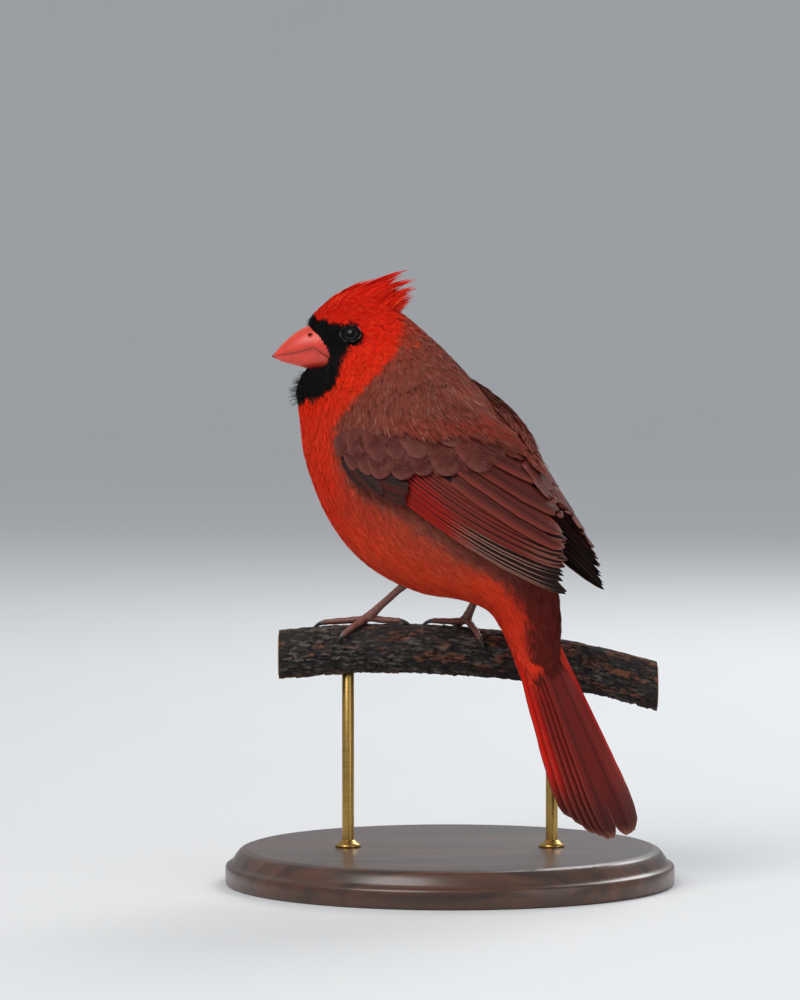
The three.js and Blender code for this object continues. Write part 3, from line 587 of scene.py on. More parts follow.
def lay(feathers, surface, sign, u, v, pattern, sway, length, half, low, high, root_tint, tip_tint, streak,
        bake, chance, limit=(0.02, LAST_RING - 0.02), loose=0.25, stray=0.35):
    """Lays one small feather over a surface from each place on it."""
    paths = run_along(surface, sign, u, v, sway, length, BARB_STOPS, limit)
    plant(feathers, paths, pattern, half, low, high, root_tint, tip_tint, streak, bake, chance, loose, stray)


# Where a folded wing lies on the body, no feathers grow under it. Its bed follows its own axis, with the
# middle, half the height and the width of the bed at equal steps along it.
WING_Z, WING_DOWN = 143.4, 37.0
BED_LIMIT = BED_FROM, BED_TO = -22.0, 86.0
BED_ROWS = np.array([
    (-9.0, 24.0, 22.0), (-6.5, 32.5, 28.0), (-6.0, 32.0, 29.0), (-4.0, 24.8, 27.0), (-3.0, 18.6, 22.8),
    (-1.8, 12.5, 17.0), (0.0, 5.0, 12.0),
])
bird_ahead, bird_left, _ = axes(np.array(BODY_YAW), np.array(0.0))
bird_up = np.array([0, 0, 1.0])
fall = math.radians(WING_DOWN)
wing_along = -bird_ahead * math.cos(fall) - bird_up * math.sin(fall)
wing_above = -bird_ahead * math.sin(fall) + bird_up * math.cos(fall)
wing_origin = np.array([BODY_X, BODY_Y, WING_Z])


def wing_bed(wing):
    """The bed of one wing, 1 for the left and -1 for the right, as a surface of along and above."""
    def bed(a, b):
        middle, high, wide = np.moveaxis(
            through(BED_ROWS, (a - BED_FROM) / (BED_TO - BED_FROM) * (len(BED_ROWS) - 1)), -1, 0)
        share = np.clip((b - middle) / high, -0.985, 0.985)
        beyond = np.maximum(b - middle - 0.985 * high, 0)
        out = (wide * np.sqrt(1 - share ** 2) - beyond) * wing
        over = middle + share * high
        return (
            wing_origin + wing_along * a[..., None] + wing_above * over[..., None]
            + bird_left * out[..., None])
    return bed


COVER_A = [-14, -3, 12, 26, 50, 70]
COVER_LOW = [-11, -13, -11, -8, -5, -1]
COVER_HIGH = [8, 15, 16, 15, 13, 8]


def under_wing(points, margin):
    """Which places on the body are hidden by a folded wing."""
    away = points - wing_origin
    a = away @ wing_along
    b = away @ wing_above
    out = np.abs(away @ bird_left)
    low = np.interp(a, COVER_A, COVER_LOW) + margin
    high = np.interp(a, COVER_A, COVER_HIGH) - margin
    return (a > COVER_A[0] + margin) & (a < COVER_A[-1]) & (b > low) & (b < high) & (out > 6)


def feather_spacing(place, turn):
    reach = np.interp(place, [0, 3, 5, 7, 9, 12, 14, 18], [0.46, 0.56, 0.72, 0.92, 1.05, 1.1, 1.05, 1.1])
    return reach * (1 + 0.08 * np.cos(from_back(turn)))


def evenly(reach):
    """The same spacing everywhere."""
    return lambda u, v: np.full(u.shape, reach)


root_place, root_turn = scatter(body, 1, (0.6, -np.pi), (17.6, np.pi), 700000, feather_spacing, 11)
root_point = body(root_place, root_turn)
before_face = inside_line(np.array(FACE_LINE), root_point[:, 0], root_point[:, 2]) > -0.15
near_bill = np.abs(root_point[:, 1] - HEAD_Y) < FACE_WIDE
beside_eye = from_eye(root_point) < 1.04
on_side = np.abs(root_point[:, 1] - HEAD_Y) > 4
kept = ~(before_face & near_bill) & ~(beside_eye & on_side) & ~under_wing(root_point, 2.0)
root_place, root_turn = root_place[kept], root_turn[kept]

chance = np.random.default_rng(5)
coat_plumage = plumage("body feathers", 26, 0.12, 0.75, 0.2)
STREAK_RED = paint(238, 74, 30)
STREAK_BELLY = paint(232, 108, 72)
STREAK_PALE = paint(162, 120, 104)
STREAK_DARK = paint(54, 32, 28)
COAT_PARTS = [
    # name, from and to place, barbs in a feather
    ("coat_face", 0.0, 3.4, 11), ("coat_cheek", 3.4, 5.2, 16), ("coat_nape", 5.2, 6.6, 18),
    ("coat_neck", 6.6, 7.9, 19), ("coat_breast", 7.9, 9.2, 21), ("coat_side", 9.2, 10.6, 22),
    ("coat_belly", 10.6, 12.4, 22), ("coat_vent", 12.4, 18.0, 19),
]
for coat_name, from_place, to_place, barb_count in COAT_PARTS:
    here = (root_place >= from_place) & (root_place < to_place)
    place, turn = root_place[here], root_turn[here]
    number = len(place)
    length = np.interp(place, [0, 3, 5, 7, 9, 12, 14, 18], [2.4, 3.6, 5.2, 6.8, 8.4, 9.2, 9.8, 9.0])
    length = length * chance.uniform(0.85, 1.2, number)
    sway = chance.normal(0, 0.15, number)
    for share in (1.0, 0.8, 0.6, 0.4):
        tip = run_along(body, 1, place, turn, sway, length * share, [0.5, 1.0], (0.02, LAST_RING - 0.02))[0]
        blocked = (from_eye(tip).min(1) < 0.97) & (np.abs(tip[:, 1, 1] - HEAD_Y) > 4)
        length = np.where(blocked, length * 0.72, length)
    half = feather_spacing(place, turn) * chance.uniform(0.9, 1.25, number)
    _, pace, _, _ = lie(body, place, turn)
    shown = np.minimum(place + 0.65 * length / np.linalg.norm(pace, axis=1), LAST_RING)
    jitter = chance.normal(0, 0.4, (number, 3))
    colour = markings(body(shown, turn) + jitter, shown + jitter[:, 0] * 0.1, turn + jitter[:, 1] * 0.05)
    colour = colour * chance.uniform(0.88, 1.10, number)[:, None]
    brown = (colour[:, 0] < 0.36) & (colour[:, 0] > 0.02)
    black = colour[:, 0] < 0.02
    pale = chance.random(number) < 0.45
    streak = blend(STREAK_RED, STREAK_BELLY, smooth(8, 11, place) * 0.8)
    streak = np.where(brown[:, None], np.where(pale[:, None], STREAK_PALE, STREAK_DARK), streak)
    streak = np.where(black[:, None], MASK * 2.2, streak)
    streak = blend(streak, colour * 1.25, smooth(11.5, 13.5, place) * 0.8)
    feathers = Feathers()
    bake = body_patch(place / LAST_RING, turn / (2 * np.pi) % 1)
    lay(feathers, body, 1, place, turn, tuft_pattern(barb_count, BARB_SHARES), sway, length, half,
        -skin_inset(place), 0.05 + 0.15 * chance.random(number), colour * 0.72, colour, streak, bake, chance)
    feathers.piece(coat_name, coat_plumage, "red_plumage")

# The folded wings. Each has stiff flight feathers that lie like roof tiles, primaries below, then
# secondaries and the broad tertials, and over their roots the coverts. A feather is a vane on both sides
# of a shaft, and runs from a root to a tip over the bed, in millimetres along and above its axis.
WING_TIERS = [
    # name, number, first and last root, first and last tip,
    # half widths, heights over the bed, bow, tilt of the vane, how far the row's middle hangs down
    ("primary", 7, (3, -6.6), (3, -1.4), (74.0, 0.6), (67.0, 6.4),
     (2.3, 2.4), (-0.7, 0.0), -1.2, 8, 0),
    ("secondary", 8, (3, -0.6), (3, 8.4), (68, 6.6), (60, 11.8),
     (2.7, 3.2), (0.15, 0.9), -0.8, 8, 0),
    ("tertial", 5, (14, 9.0), (5, 23.5), (62.5, 9.8), (43, 20.5),
     (4.2, 5.0), (1.2, 2.1), 0.4, 4, 0),
    ("primary covert", 7, (-8, -10.5), (-4, -5.5), (15.5, -7.4), (12.5, -1.8),
     (1.7, 2.0), (0.6, 1.2), -0.8, 7, 0),
    ("alula", 3, (-15, -10.5), (-12, -7.5), (1.5, -11.6), (7, -8.8),
     (1.8, 2.2), (1.3, 1.8), -0.6, 6, 0),
    ("greater covert", 7, (-17, -5.6), (9, 19.5), (-5.0, -8.6), (27, 14.8),
     (4.0, 5.2), (1.9, 2.4), 0.0, 1.5, 2.8),
    ("median covert", 6, (-20, -5.6), (-3, 17), (-12.5, -8.4), (17.5, 15.4),
     (4.0, 5.0), (2.3, 2.8), 0.0, 1.5, 1.6),
]
WING_SUNK, WING_RISE = 1.4, 0.2
LONG_VANE = ([0, 0.15, 0.34, 0.7, 0.88, 0.95, 0.985, 1], [0.5, 0.72, 0.9, 1.0, 0.94, 0.76, 0.46, 0.08])
POINTED_VANE = ([0, 0.15, 0.34, 0.7, 0.86, 0.94, 0.98, 1], [0.5, 0.72, 0.9, 1.0, 0.88, 0.62, 0.34, 0.05])
SHORT_VANE = ([0, 0.3, 0.55, 0.8, 0.9, 0.96, 1], [0.6, 0.85, 1.0, 0.95, 0.78, 0.52, 0.12])
VANES = {"primary": POINTED_VANE, "secondary": LONG_VANE, "tertial": LONG_VANE}
# Places across a vane from its outer edge to its inner one, with the shaft between two close ones.
VANE_ACROSS = np.array([-1.0, -0.9, -0.8, -0.7, -0.6, -0.5, -0.29, -0.19, 0.05, 0.4, 0.72, 1.0])
SHAFT = -0.24
SHAFT_RISE = 0.13
VANE_ARCH = 0.09
vane_rows, vane_columns, vane_quads = sheet(22, len(VANE_ACROSS) - 1)
vane_shares = np.sin(vane_rows * np.pi / 2)
vane_across = np.interp(vane_columns, np.linspace(-1, 1, len(VANE_ACROSS)), VANE_ACROSS)


def long_feather(feathers, spine, inwards, half, outline, colour, bake, chance, shaft_shade=0.62):
    """One stiff feather over a spine, with its inner web towards the given side."""
    point, normal = spine(vane_shares)
    step = 0.02
    ahead = spine(np.minimum(vane_shares + step, 1))[0] - spine(np.maximum(vane_shares - step, 0))[0]
    across = unit(np.cross(ahead, normal))
    across = across * np.sign((across * inwards).sum(-1, keepdims=True))
    normal = unit(normal)
    wide = np.interp(vane_shares, *outline) * half
    ragged = chance.normal(0, 0.018, 23)[np.round(vane_rows * 22).astype(int)]
    wide = wide * (1 + ragged)
    shaft = np.abs(vane_across - SHAFT) < 0.06
    rise = SHAFT_RISE * shaft * (1 - 0.6 * vane_shares) - VANE_ARCH * half * (vane_across - SHAFT) ** 2
    points = point + across * (wide * vane_across)[:, None] + normal * rise[:, None]
    tint = colour(vane_shares, vane_across, points)
    turned_in = (np.cross(across, ahead) * normal).sum() > 0
    tint = np.where(shaft[:, None], tint * shaft_shade, tint)
    own = 3 * chance.integers(0, 60)
    long = np.linalg.norm(point[vane_shares.argmax()] - point[vane_shares.argmin()])
    slant = half * np.abs(vane_across - SHAFT) * 1.4
    vane = np.column_stack([(vane_shares * long + slant) / 30, own + 0.3 * vane_across])
    patch = np.column_stack([bake[0] + 0.0015 * vane_across, bake[1] + 0.003 * (vane_shares - 0.5)])
    feathers.add(points, tint, vane, patch, vane_quads[:, ::-1] if turned_in else vane_quads)


RED_EDGE = paint(150, 24, 16)
PALE_EDGE = paint(140, 98, 84)
QUILL_DARK = paint(30, 18, 16)
SECONDARY = paint(108, 38, 30)
TERTIAL = paint(92, 40, 34)
TERTIAL_EDGE = paint(118, 48, 37)
COVERT = paint(98, 49, 43)
COVERT_EDGE = paint(112, 62, 55)
COVERT_EDGE_SHADE = paint(62, 32, 28)
COVERT_DARK = paint(52, 34, 31)


def quill_colour(tier, share_of_tier, tone):
    """The colours of one wing feather, by share along it and place across it."""
    def colour(share, across, points):
        if tier == "primary":
            web = blend(RED_EDGE, PALE_EDGE, smooth(0.38, 0.62, share))
            width = np.interp(share, [0.2, 0.4, 0.6, 1.0], [-0.68, -0.70, -0.84, -0.88])
            tint = blend(web, QUILL_DARK, smooth(-0.05, 0.05, across - width))
            tint = blend(tint, QUILL_DARK, 0.8 * smooth(0.86, 0.97, share))
            tint = blend(tint, PALE_EDGE * 0.6, smooth(0.86, 1.0, across))
        elif tier == "secondary":
            web = blend(RED_EDGE, SECONDARY, smooth(0.30, 0.55, share + 0.35 * share_of_tier))
            web = blend(web, PALE_EDGE * 0.8, 0.5 * smooth(0.75, 0.95, share))
            tint = blend(web, QUILL_DARK, smooth(-0.05, 0.05, across + 0.68))
            tint = blend(tint, SECONDARY * 0.8, smooth(-0.1, 0.3, across))
        elif tier == "tertial":
            tint = blend(TERTIAL_EDGE, TERTIAL, smooth(-0.9, -0.5, across))
            # Painted shade: a dark line along the outer edge, where the feathers overlap.
            tint = blend(COVERT_EDGE_SHADE, tint, smooth(-1.0, -0.90, across))
            tint = blend(tint, TERTIAL_EDGE, smooth(0.4, 0.9, across))
            tint = blend(tint, PALE_EDGE, 0.5 * smooth(0.95, 1.0, share))
        elif tier in ("primary covert", "alula"):
            tint = blend(SECONDARY * 0.7, COVERT_DARK, smooth(-0.95, -0.7, across))
            # Painted shade: a dark line at the tips, where they lie over the next feathers.
            tint = blend(tint, COVERT_EDGE_SHADE, smooth(0.92, 1.0, share))
        else:
            tint = blend(COVERT_EDGE, COVERT, smooth(-0.9, -0.5, across))
            # Painted shade: dark lines along the outer edge and across the tip, where the feathers overlap.
            tint = blend(tint, COVERT_EDGE_SHADE, 0.5 * smooth(-0.93, -1.0, across))
            tint = blend(tint, SECONDARY, 0.6 * share_of_tier * smooth(0.9, 0.2, share))
            tint = blend(tint, COVERT_EDGE, 0.3 * smooth(0.75, 0.93, share))
            tint = blend(tint, COVERT_EDGE_SHADE, 0.3 * smooth(0.965, 0.99, share))
        return tint * tone
    return colour


def wing_patch(a, b):
    """Places on the unwrapped wing."""
    return np.column_stack([0.05 + 0.9 * (a + 22) / 60, 0.05 + 0.9 * (b + 14) / 40])


quill_plumage = plumage("wing quills", 70, 0.12, 0.6, 0.3)
cover_tuft = tuft_pattern(13, BARB_SHARES)
wide_tuft = tuft_pattern(25, BARB_SHARES)
SCAPULAR_RED = paint(148, 50, 36)
# The lower edge of the scapulars and of the lesser coverts, as places above the wing's axis.
SCAPULAR_A = [-17, -13.5, 0, 11.5, 17.5, 24, 30]
SCAPULAR_B = [-4.5, -1.8, 7.0, 13.2, 18.5, 21.0, 21.5]
# The ends of the greater coverts, and the lower edge of the lesser ones.
COVERT_TIP_A = [-13.5, -6, 1.5, 8.5, 14, 20, 25.5]
COVERT_TIP_B = [-11.0, -8.2, -5.4, -2.0, 2.2, 6.5, 12.5]
LESSER_A = [-20, -13.5, -6, 0, 8]
LESSER_LOW = [-9, -11.5, -9.5, -5.0, 2.0]


def wing_core(bed, sign):
    """The flesh and bone of a folded wing, a thin closed pad under its coverts."""
    along, across, faces = sheet(30, 20)
    a = -15 + 31 * along
    low = np.interp(a, COVER_A, COVER_LOW) + 4.0
    high = np.interp(a, COVER_A, COVER_HIGH) + 3.5
    b = low + (high - low) * (across + 1) / 2
    point, _, _, out = lie(bed, a, b, sign)
    rise = -0.4 - 2.0 * smooth(-16, -2, a)
    return point + out * rise[:, None], faces


for wing_side, wing in (("left", 1), ("right", -1)):
    bed = wing_bed(wing)
    out_sign = -wing
    chance = np.random.default_rng(40 + wing)
    core_points, core_faces = wing_core(bed, out_sign)
    core = mesh_piece(
        "wing_core_" + wing_side, core_points, [core_faces], skin_plumage,
        np.tile(COVERT * 0.4, (len(core_points), 1)), core_points[:, :2] * 0.1,
        np.full((len(core_points), 2), 0.5))

    def thicken(mesh):
        bmesh.ops.recalc_face_normals(mesh, faces=mesh.faces)
        bmesh.ops.solidify(mesh, geom=mesh.faces[:], thickness=2.0 * MM)
        bmesh.ops.recalc_face_normals(mesh, faces=mesh.faces)

    edit(core, thicken)
    quills = Feathers()
    for tier, number, root_a, root_b, tip_a, tip_b, halves, lifts, bow, tilt, sag in WING_TIERS:
        for k in range(number):
            place = k / (number - 1)
            root = np.array(root_a) + (np.array(root_b) - root_a) * place
            loose = 0.9 if lifts[0] > 1.5 else 0.3
            tip = np.array(tip_a) + (np.array(tip_b) - tip_a) * place + chance.normal(0, loose, 2)
            tip[1] -= 4 * sag * place * (1 - place)
            half = (halves[0] + (halves[1] - halves[0]) * place) * chance.uniform(0.94, 1.08)
            lift = lifts[0] + (lifts[1] - lifts[0]) * place + 0.12 * wing

            def spine(share):
                a = root[0] + (tip[0] - root[0]) * share
                b = root[1] + (tip[1] - root[1]) * share + 4 * bow * share * (1 - share)
                point, _, above, out = lie(bed, a, b, out_sign)
                above = unit(above)
                sunk = WING_SUNK * np.maximum(0, 1 - share / WING_RISE)
                return point + out * (lift - sunk)[:, None], out + above * math.tan(math.radians(tilt))

            tone = chance.uniform(0.92, 1.08)
            long_feather(
                quills, spine, wing_above, half, VANES.get(tier, SHORT_VANE), quill_colour(tier, place, tone),
                wing_patch(*root)[0], chance, 0.85 if lifts[0] > 1.5 else 0.62)
    quills.piece("wing_quills_" + wing_side, quill_plumage, "wing_plumage")

    # Lesser coverts, small and round, over the shoulder of the wing.
    small = Feathers()
    a, b = scatter(bed, out_sign, (-20, -14), (8, 14), 40000, evenly(1.35), 50 + wing)
    kept = (b > np.interp(a, LESSER_A, LESSER_LOW)) & (b < np.interp(a, SCAPULAR_A, SCAPULAR_B) + 2)
    kept = kept & (a < b - 9.4)
    a, b = a[kept], b[kept]
    number = len(a)
    front = smooth(-13.5, -17.5, a + chance.normal(0, 0.9, number)) * smooth(5, -2, b)
    tint = blend(COVERT * 0.95, COVERT_DARK, 0.6 * smooth(-8, -11.5, b))
    tint = blend(tint, BREAST, front) * chance.uniform(0.88, 1.12, number)[:, None]
    level = np.interp(a, [-20, -14, -6, 8], [1.0, 2.4, 3.2, 3.6])
    lay(small, bed, out_sign, a, b, cover_tuft, chance.normal(0, 0.06, number),
        chance.uniform(5.5, 7.0, number), chance.uniform(1.5, 1.9, number), level - 1.2, level + 0.05,
        tint * 0.85, tint, tint * 1.18, wing_patch(a, b), chance, BED_LIMIT, 0.12, 0.1)
    # Loose barbs of the coverts' tips, which soften their rows.
    a, b = scatter(bed, out_sign, (-18, -9), (24, 20), 20000, evenly(1.9), 80 + wing)
    low = np.interp(a + 5.5, COVERT_TIP_A, COVERT_TIP_B)
    kept = (b > low + 1.6) & (b < np.interp(a + 3, SCAPULAR_A, SCAPULAR_B)) & (a > b * 0.9 - 12)
    a, b = a[kept], b[kept]
    number = len(a)
    tint = blend(COVERT, SECONDARY, 0.5 * chance.random(number) * smooth(-6, 12, a))
    tint = blend(tint, COVERT_EDGE, 0.8 * chance.random(number)) * chance.uniform(0.82, 1.12, number)[:, None]
    lay(small, bed, out_sign, a, b, wide_tuft, chance.normal(0, 0.08, number),
        chance.uniform(5.0, 7.0, number), chance.uniform(1.9, 2.6, number), np.full(number, 1.6),
        chance.uniform(2.7, 3.1, number), tint * 0.8, tint, tint * 1.2, wing_patch(a, b), chance, BED_LIMIT,
        0.2, 0.06)
    # Scapulars, which hang from the shoulder over the top of the wing and meet over the back.
    a, b = scatter(bed, out_sign, (-17, -4), (32, 30.5), 70000, evenly(1.15), 60 + wing)
    edge = np.interp(a + 7.5, SCAPULAR_A, SCAPULAR_B)
    kept = (b > edge) & (b < np.interp(a, [-17, 0, 10, 15, 32], [20, 26.5, 28.5, 30.3, 26.2])) & (a < 32)
    a, b, edge = a[kept], b[kept], edge[kept] - 1.5
    number = len(a)
    above = b - edge
    red = smooth(1.5, 3.5, above) * smooth(9.0, 6.0, above) * smooth(-12, 0, a)
    tint = blend(MANTLE * 0.85, SCAPULAR_RED, red * chance.uniform(0.3, 1.0, number))
    tint = blend(tint, MANTLE * 0.5, 0.6 * smooth(2.6, 0.6, above))
    tint = tint * chance.uniform(0.85, 1.15, number)[:, None]
    level = np.interp(a, [-17, -8, 4, 24], [2.2, 3.9, 4.0, 3.4])
    level = level * np.maximum(smooth(28, 23, b), 0.5 * smooth(2, 26, a)) + 0.2
    pale = (chance.random(number) < 0.5)[:, None]
    lay(small, bed, out_sign, a, b, cover_tuft, -wing * 0.10 + chance.normal(0, 0.12, number),
        chance.uniform(7.0, 10.0, number), chance.uniform(1.2, 1.6, number), level - 1.4, level,
        tint * 0.8, tint, np.where(pale, STREAK_PALE * 0.8, STREAK_DARK), wing_patch(a, b), chance, BED_LIMIT)
    small.piece("wing_coverts_" + wing_side, coat_plumage, "wing_plumage")
    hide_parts("wing_" + wing_side)

# The feathers down the middle of the back. They grow from the skin between the wings and lie over the
# place where the scapulars of both sides meet.
mantle_feathers = Feathers()
chance = np.random.default_rng(67)
place, turn = scatter(body, 1, (8.3, -0.30), (12.4, 0.30), 6000, evenly(1.1), 68)
number = len(place)
tint = np.tile(MANTLE, (number, 1)) * chance.uniform(0.8, 1.15, number)[:, None]
lay(mantle_feathers, body, 1, place, turn, cover_tuft, chance.normal(0, 0.12, number),
    chance.uniform(7.0, 10.0, number), chance.uniform(1.2, 1.6, number), np.full(number, 0.2),
    0.9 * smooth(8, 10, place) + chance.uniform(0.0, 0.5, number), tint * 0.8, tint,
    np.where((chance.random(number) < 0.5)[:, None], STREAK_PALE * 0.8, STREAK_DARK),
    body_patch(place / LAST_RING, turn / (2 * np.pi) % 1), chance)
mantle_feathers.piece("coat_back", coat_plumage, "red_plumage")

# The tail: twelve long feathers in pairs that fan out from inside the coverts. The middle pair is on
# top, and each pair outwards is lower and a little shorter.
TAIL_PAIRS = 6
TAIL_RING, TAIL_YAW, TAIL_WAY = 14.0, 45.0, 36.0
TAIL_ROOT, TAIL_TIP = (25.6, 93.0), (55.4, 20.4)
TAIL_SPREAD, TAIL_ROOT_SPREAD = {1: (3.2, 11.5), -1: (3.9, 17.0)}, {1: (0.9, 5.2), -1: (0.9, 8.8)}
TAIL_ARCH, TAIL_LAYER, TAIL_ROLL = 3.0, 0.55, 0.3
RECTRIX_HALF, RECTRIX_SHORTER = 4.9, {1: 11.0, -1: 7.0}
RECTRIX_VANE = ([0, 0.3, 0.6, 0.85, 0.94, 0.98, 1], [0.5, 0.72, 0.92, 1.0, 0.82, 0.55, 0.12])
TAIL_RED = paint(196, 28, 16)
TAIL_BROWN = paint(104, 28, 23)
TAIL_DARK_AND_EDGE_SHADE = paint(58, 28, 25)
TAIL_FRINGE = paint(150, 92, 78)

_, tail_left, _ = axes(np.array(TAIL_YAW), np.array(0.0))
rump_x, rump_y = through(body_rows, np.array(TAIL_RING))[:2]


def on_tail_way(x, z):
    return np.array([x, rump_y - math.tan(math.radians(TAIL_WAY)) * (x - rump_x), z])


tail_root, tail_tip = on_tail_way(*TAIL_ROOT), on_tail_way(*TAIL_TIP)
tail_long = np.linalg.norm(tail_tip - tail_root)
tail_down = (tail_tip - tail_root) / tail_long
tail_upper = unit(np.cross(tail_left, tail_down))
tail_upper = tail_upper * np.sign(tail_upper[0])
tail_across = np.cross(tail_down, tail_upper)

rectrices = Feathers()
chance = np.random.default_rng(71)
for pair in range(TAIL_PAIRS):
    for side in (1, -1):
        share_out = pair / (TAIL_PAIRS - 1)
        length = tail_long - RECTRIX_SHORTER[side] * share_out ** 2 + chance.normal(0, 0.3)
        root_wide, tip_wide = TAIL_ROOT_SPREAD[side], TAIL_SPREAD[side]

        def spine(share):
            at_root = root_wide[0] + (root_wide[1] - root_wide[0]) * share_out
            at_tip = tip_wide[0] + (tip_wide[1] - tip_wide[0]) * share_out
            drop = TAIL_ARCH * share_out ** 2 * share + TAIL_LAYER * (pair + (0.5 if side > 0 else 0))
            point = (
                tail_root + tail_down * (length * share)[:, None]
                + tail_across * (side * (at_root + (at_tip - at_root) * share))[:, None]
                - tail_upper * drop[:, None])
            normal = tail_upper + tail_across * side * TAIL_ROLL * share_out
            return point, np.broadcast_to(normal, point.shape)

        def colour(share, across, points):
            web = blend(TAIL_BROWN * 1.2, TAIL_BROWN, smooth(-1.0, 0.2, across))
            red = smooth(0.55, 0.95, share_out) * smooth(0.1, -0.6, across)
            red = red + 0.35 * smooth(-0.8, -0.95, across)
            red = np.maximum(red, smooth(0.15, 0.6, share_out) * smooth(0.45, 0.22, share))
            web = blend(web, TAIL_RED, np.minimum(red, 1) * smooth(1.0, 0.75, share))
            # Painted shade: a dark line along the edge of each feather, where the feathers overlap. The
            # darker tips below are their own colour.
            web = blend(web, TAIL_DARK_AND_EDGE_SHADE, 0.8 * smooth(-0.93, -1.0, across))
            tint = blend(web, TAIL_DARK_AND_EDGE_SHADE, 0.75 * smooth(0.70, 0.97, share))
            tint = blend(tint, TAIL_FRINGE, 0.7 * smooth(0.965, 1.0, share))
            edge = smooth(0.86, 1.0, np.abs(across)) * smooth(0.4, 0.8, share)
            return blend(tint, TAIL_FRINGE, 0.35 * edge)

        long_feather(
            rectrices, spine, -side * tail_across, RECTRIX_HALF, RECTRIX_VANE, colour,
            (0.1 + 0.15 * pair, 0.5 + 0.2 * side), chance)
tail = rectrices.piece("tail_quills", quill_plumage, "tail_plumage")
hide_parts("tail")


def tail_top(a, b):
    """The top of the tail, by millimetres down it and across it."""
    wide = np.interp(np.abs(b), [0, 12], [0, 1]) ** 2
    return (
        tail_root + tail_down * a[..., None] + tail_across * b[..., None]
        + tail_upper * (0.5 - (TAIL_ARCH + 1.5) * wide)[..., None])


# The upper tail coverts: long soft feathers that flow from the rump over the roots of the tail, brown in
# the middle and red towards its edges.
over_tail = Feathers()
a, b = scatter(tail_top, 1, (0, -9), (15, 9), 6000, evenly(1.6), 73)
number = len(a)
shade = blend(COVERTS, COVERTS * 0.55, chance.random(number))
shade = blend(shade, VENT, smooth(3.5, 6.0, np.abs(b)))
lay(over_tail, tail_top, np.sign((lie(tail_top, a[:1], b[:1])[3] @ tail_upper)[0]), a, b,
    tuft_pattern(19, BARB_SHARES), chance.normal(0, 0.10, number), chance.uniform(8.0, 13.0, number),
    chance.uniform(1.4, 2.0, number), chance.uniform(0.2, 0.6, number),
    chance.uniform(0.4, 0.9, number), shade * 0.8, shade,
    np.where((chance.random(number) < 0.3)[:, None], STREAK_PALE * 0.8, shade * 1.2),
    np.column_stack([0.1 + 0.03 * a, 0.5 + 0.04 * b]), chance, (-30, 60), 0.3, 0.2)
over_tail.piece("tail_coverts", coat_plumage, "tail_plumage")

# The crest: narrow pointed feathers from the forehead to the nape, which lean together like a roof and
# end in a few loose points behind the head. Rows have root and tip in x and z, half width, and how far
# from the middle plane the outer ones start.
CREST_ROWS = np.array([
    (-45.0, 189.0, -33.5, 199.2, 2.2, 3.2),
    (-41.6, 191.8, -26.5, 202.4, 2.6, 4.0),
    (-37.0, 193.4, -19.0, 204.0, 2.9, 4.6),
    (-32.5, 193.6, -12.0, 205.0, 2.5, 4.6),
    (-28.8, 192.0, -14.0, 201.0, 2.8, 5.0),
    (-26.5, 190.4, -9.4, 201.6, 2.3, 4.6),
    (-23.4, 187.8, -9.4, 198.2, 2.4, 4.4),
])
CREST_WISPS = [
    # root and tip in x and z, place to the side, half width
    (-27.0, 200.0, -12.0, 205.0, 0.0, 0.55), (-26.0, 199.6, -14.0, 204.0, 0.8, 0.45),
    (-24.0, 198.0, -9.4, 201.9, -0.6, 0.55), (-23.0, 197.4, -11.0, 200.8, 0.9, 0.45),
    (-22.0, 195.6, -9.0, 198.6, -0.2, 0.5), (-21.5, 194.4, -12.5, 196.6, 0.6, 0.45),
]
wisp_tuft = tuft_pattern(5, BARB_SHARES)
CREST_FALL, CREST_SUNK, CREST_BOW, WISP_BOW = 0.13, 1.2, 3.4, 0.9
CREST_STEPS, CREST_ACROSS = 46, 9
crest_tuft = tuft_pattern(11, BARB_SHARES)
chance = np.random.default_rng(83)
crest_place = np.repeat(np.linspace(0, len(CREST_ROWS) - 1, CREST_STEPS), CREST_ACROSS)
crest_side = np.tile(np.linspace(-1, 1, CREST_ACROSS), CREST_STEPS)
crest_number = len(crest_place)
crest_place = crest_place + chance.normal(0, 0.12, crest_number)
crest_side = np.clip(crest_side + chance.normal(0, 0.07, crest_number), -1.05, 1.05)
root_x, root_z, tip_x, tip_z, half, outwards = through(CREST_ROWS, crest_place).T
off = crest_side * outwards
crest_root = np.column_stack([
    root_x, HEAD_Y + off, root_z - CREST_SUNK * np.abs(crest_side) - CREST_FALL * off ** 2])
crest_tip = np.column_stack([tip_x, HEAD_Y + 1.5 * crest_side, tip_z - 1.6 * np.abs(crest_side)])
shorter = chance.uniform(0.62, 0.92, crest_number)[:, None]
crest_tip = crest_root + (crest_tip - crest_root) * shorter
crest_rise = unit(np.column_stack([root_z - tip_z, 0 * root_z, tip_x - root_x]))
crest_out = unit(crest_rise + np.array([0, 2.2, 0]) * crest_side[:, None])
crest_point = np.stack([
    crest_root + (crest_tip - crest_root) * s + crest_rise * CREST_BOW * s * (1 - s) for s in BARB_STOPS], 1)
crest_way = unit(crest_tip - crest_root)
crest_normal = np.repeat(crest_out[:, None], len(BARB_STOPS), 1)
crest_across = np.repeat(unit(np.cross(crest_out, crest_way))[:, None], len(BARB_STOPS), 1)
tint = np.tile(CROWN, (crest_number, 1)) * chance.uniform(0.75, 1.15, crest_number)[:, None]
tint = blend(tint, NAPE, 0.35 * smooth(4.5, 6.0, crest_place))
crest = Feathers()
plant(
    crest, (crest_point, crest_across, crest_normal), crest_tuft, half * 0.5, 0.0,
    chance.uniform(0.0, 0.4, crest_number), tint * 0.8, tint, np.tile(STREAK_RED, (crest_number, 1)),
    np.column_stack([0.05 + 0.12 * crest_place, 0.5 + 0.4 * crest_side]), chance, 0.4, 0.2)
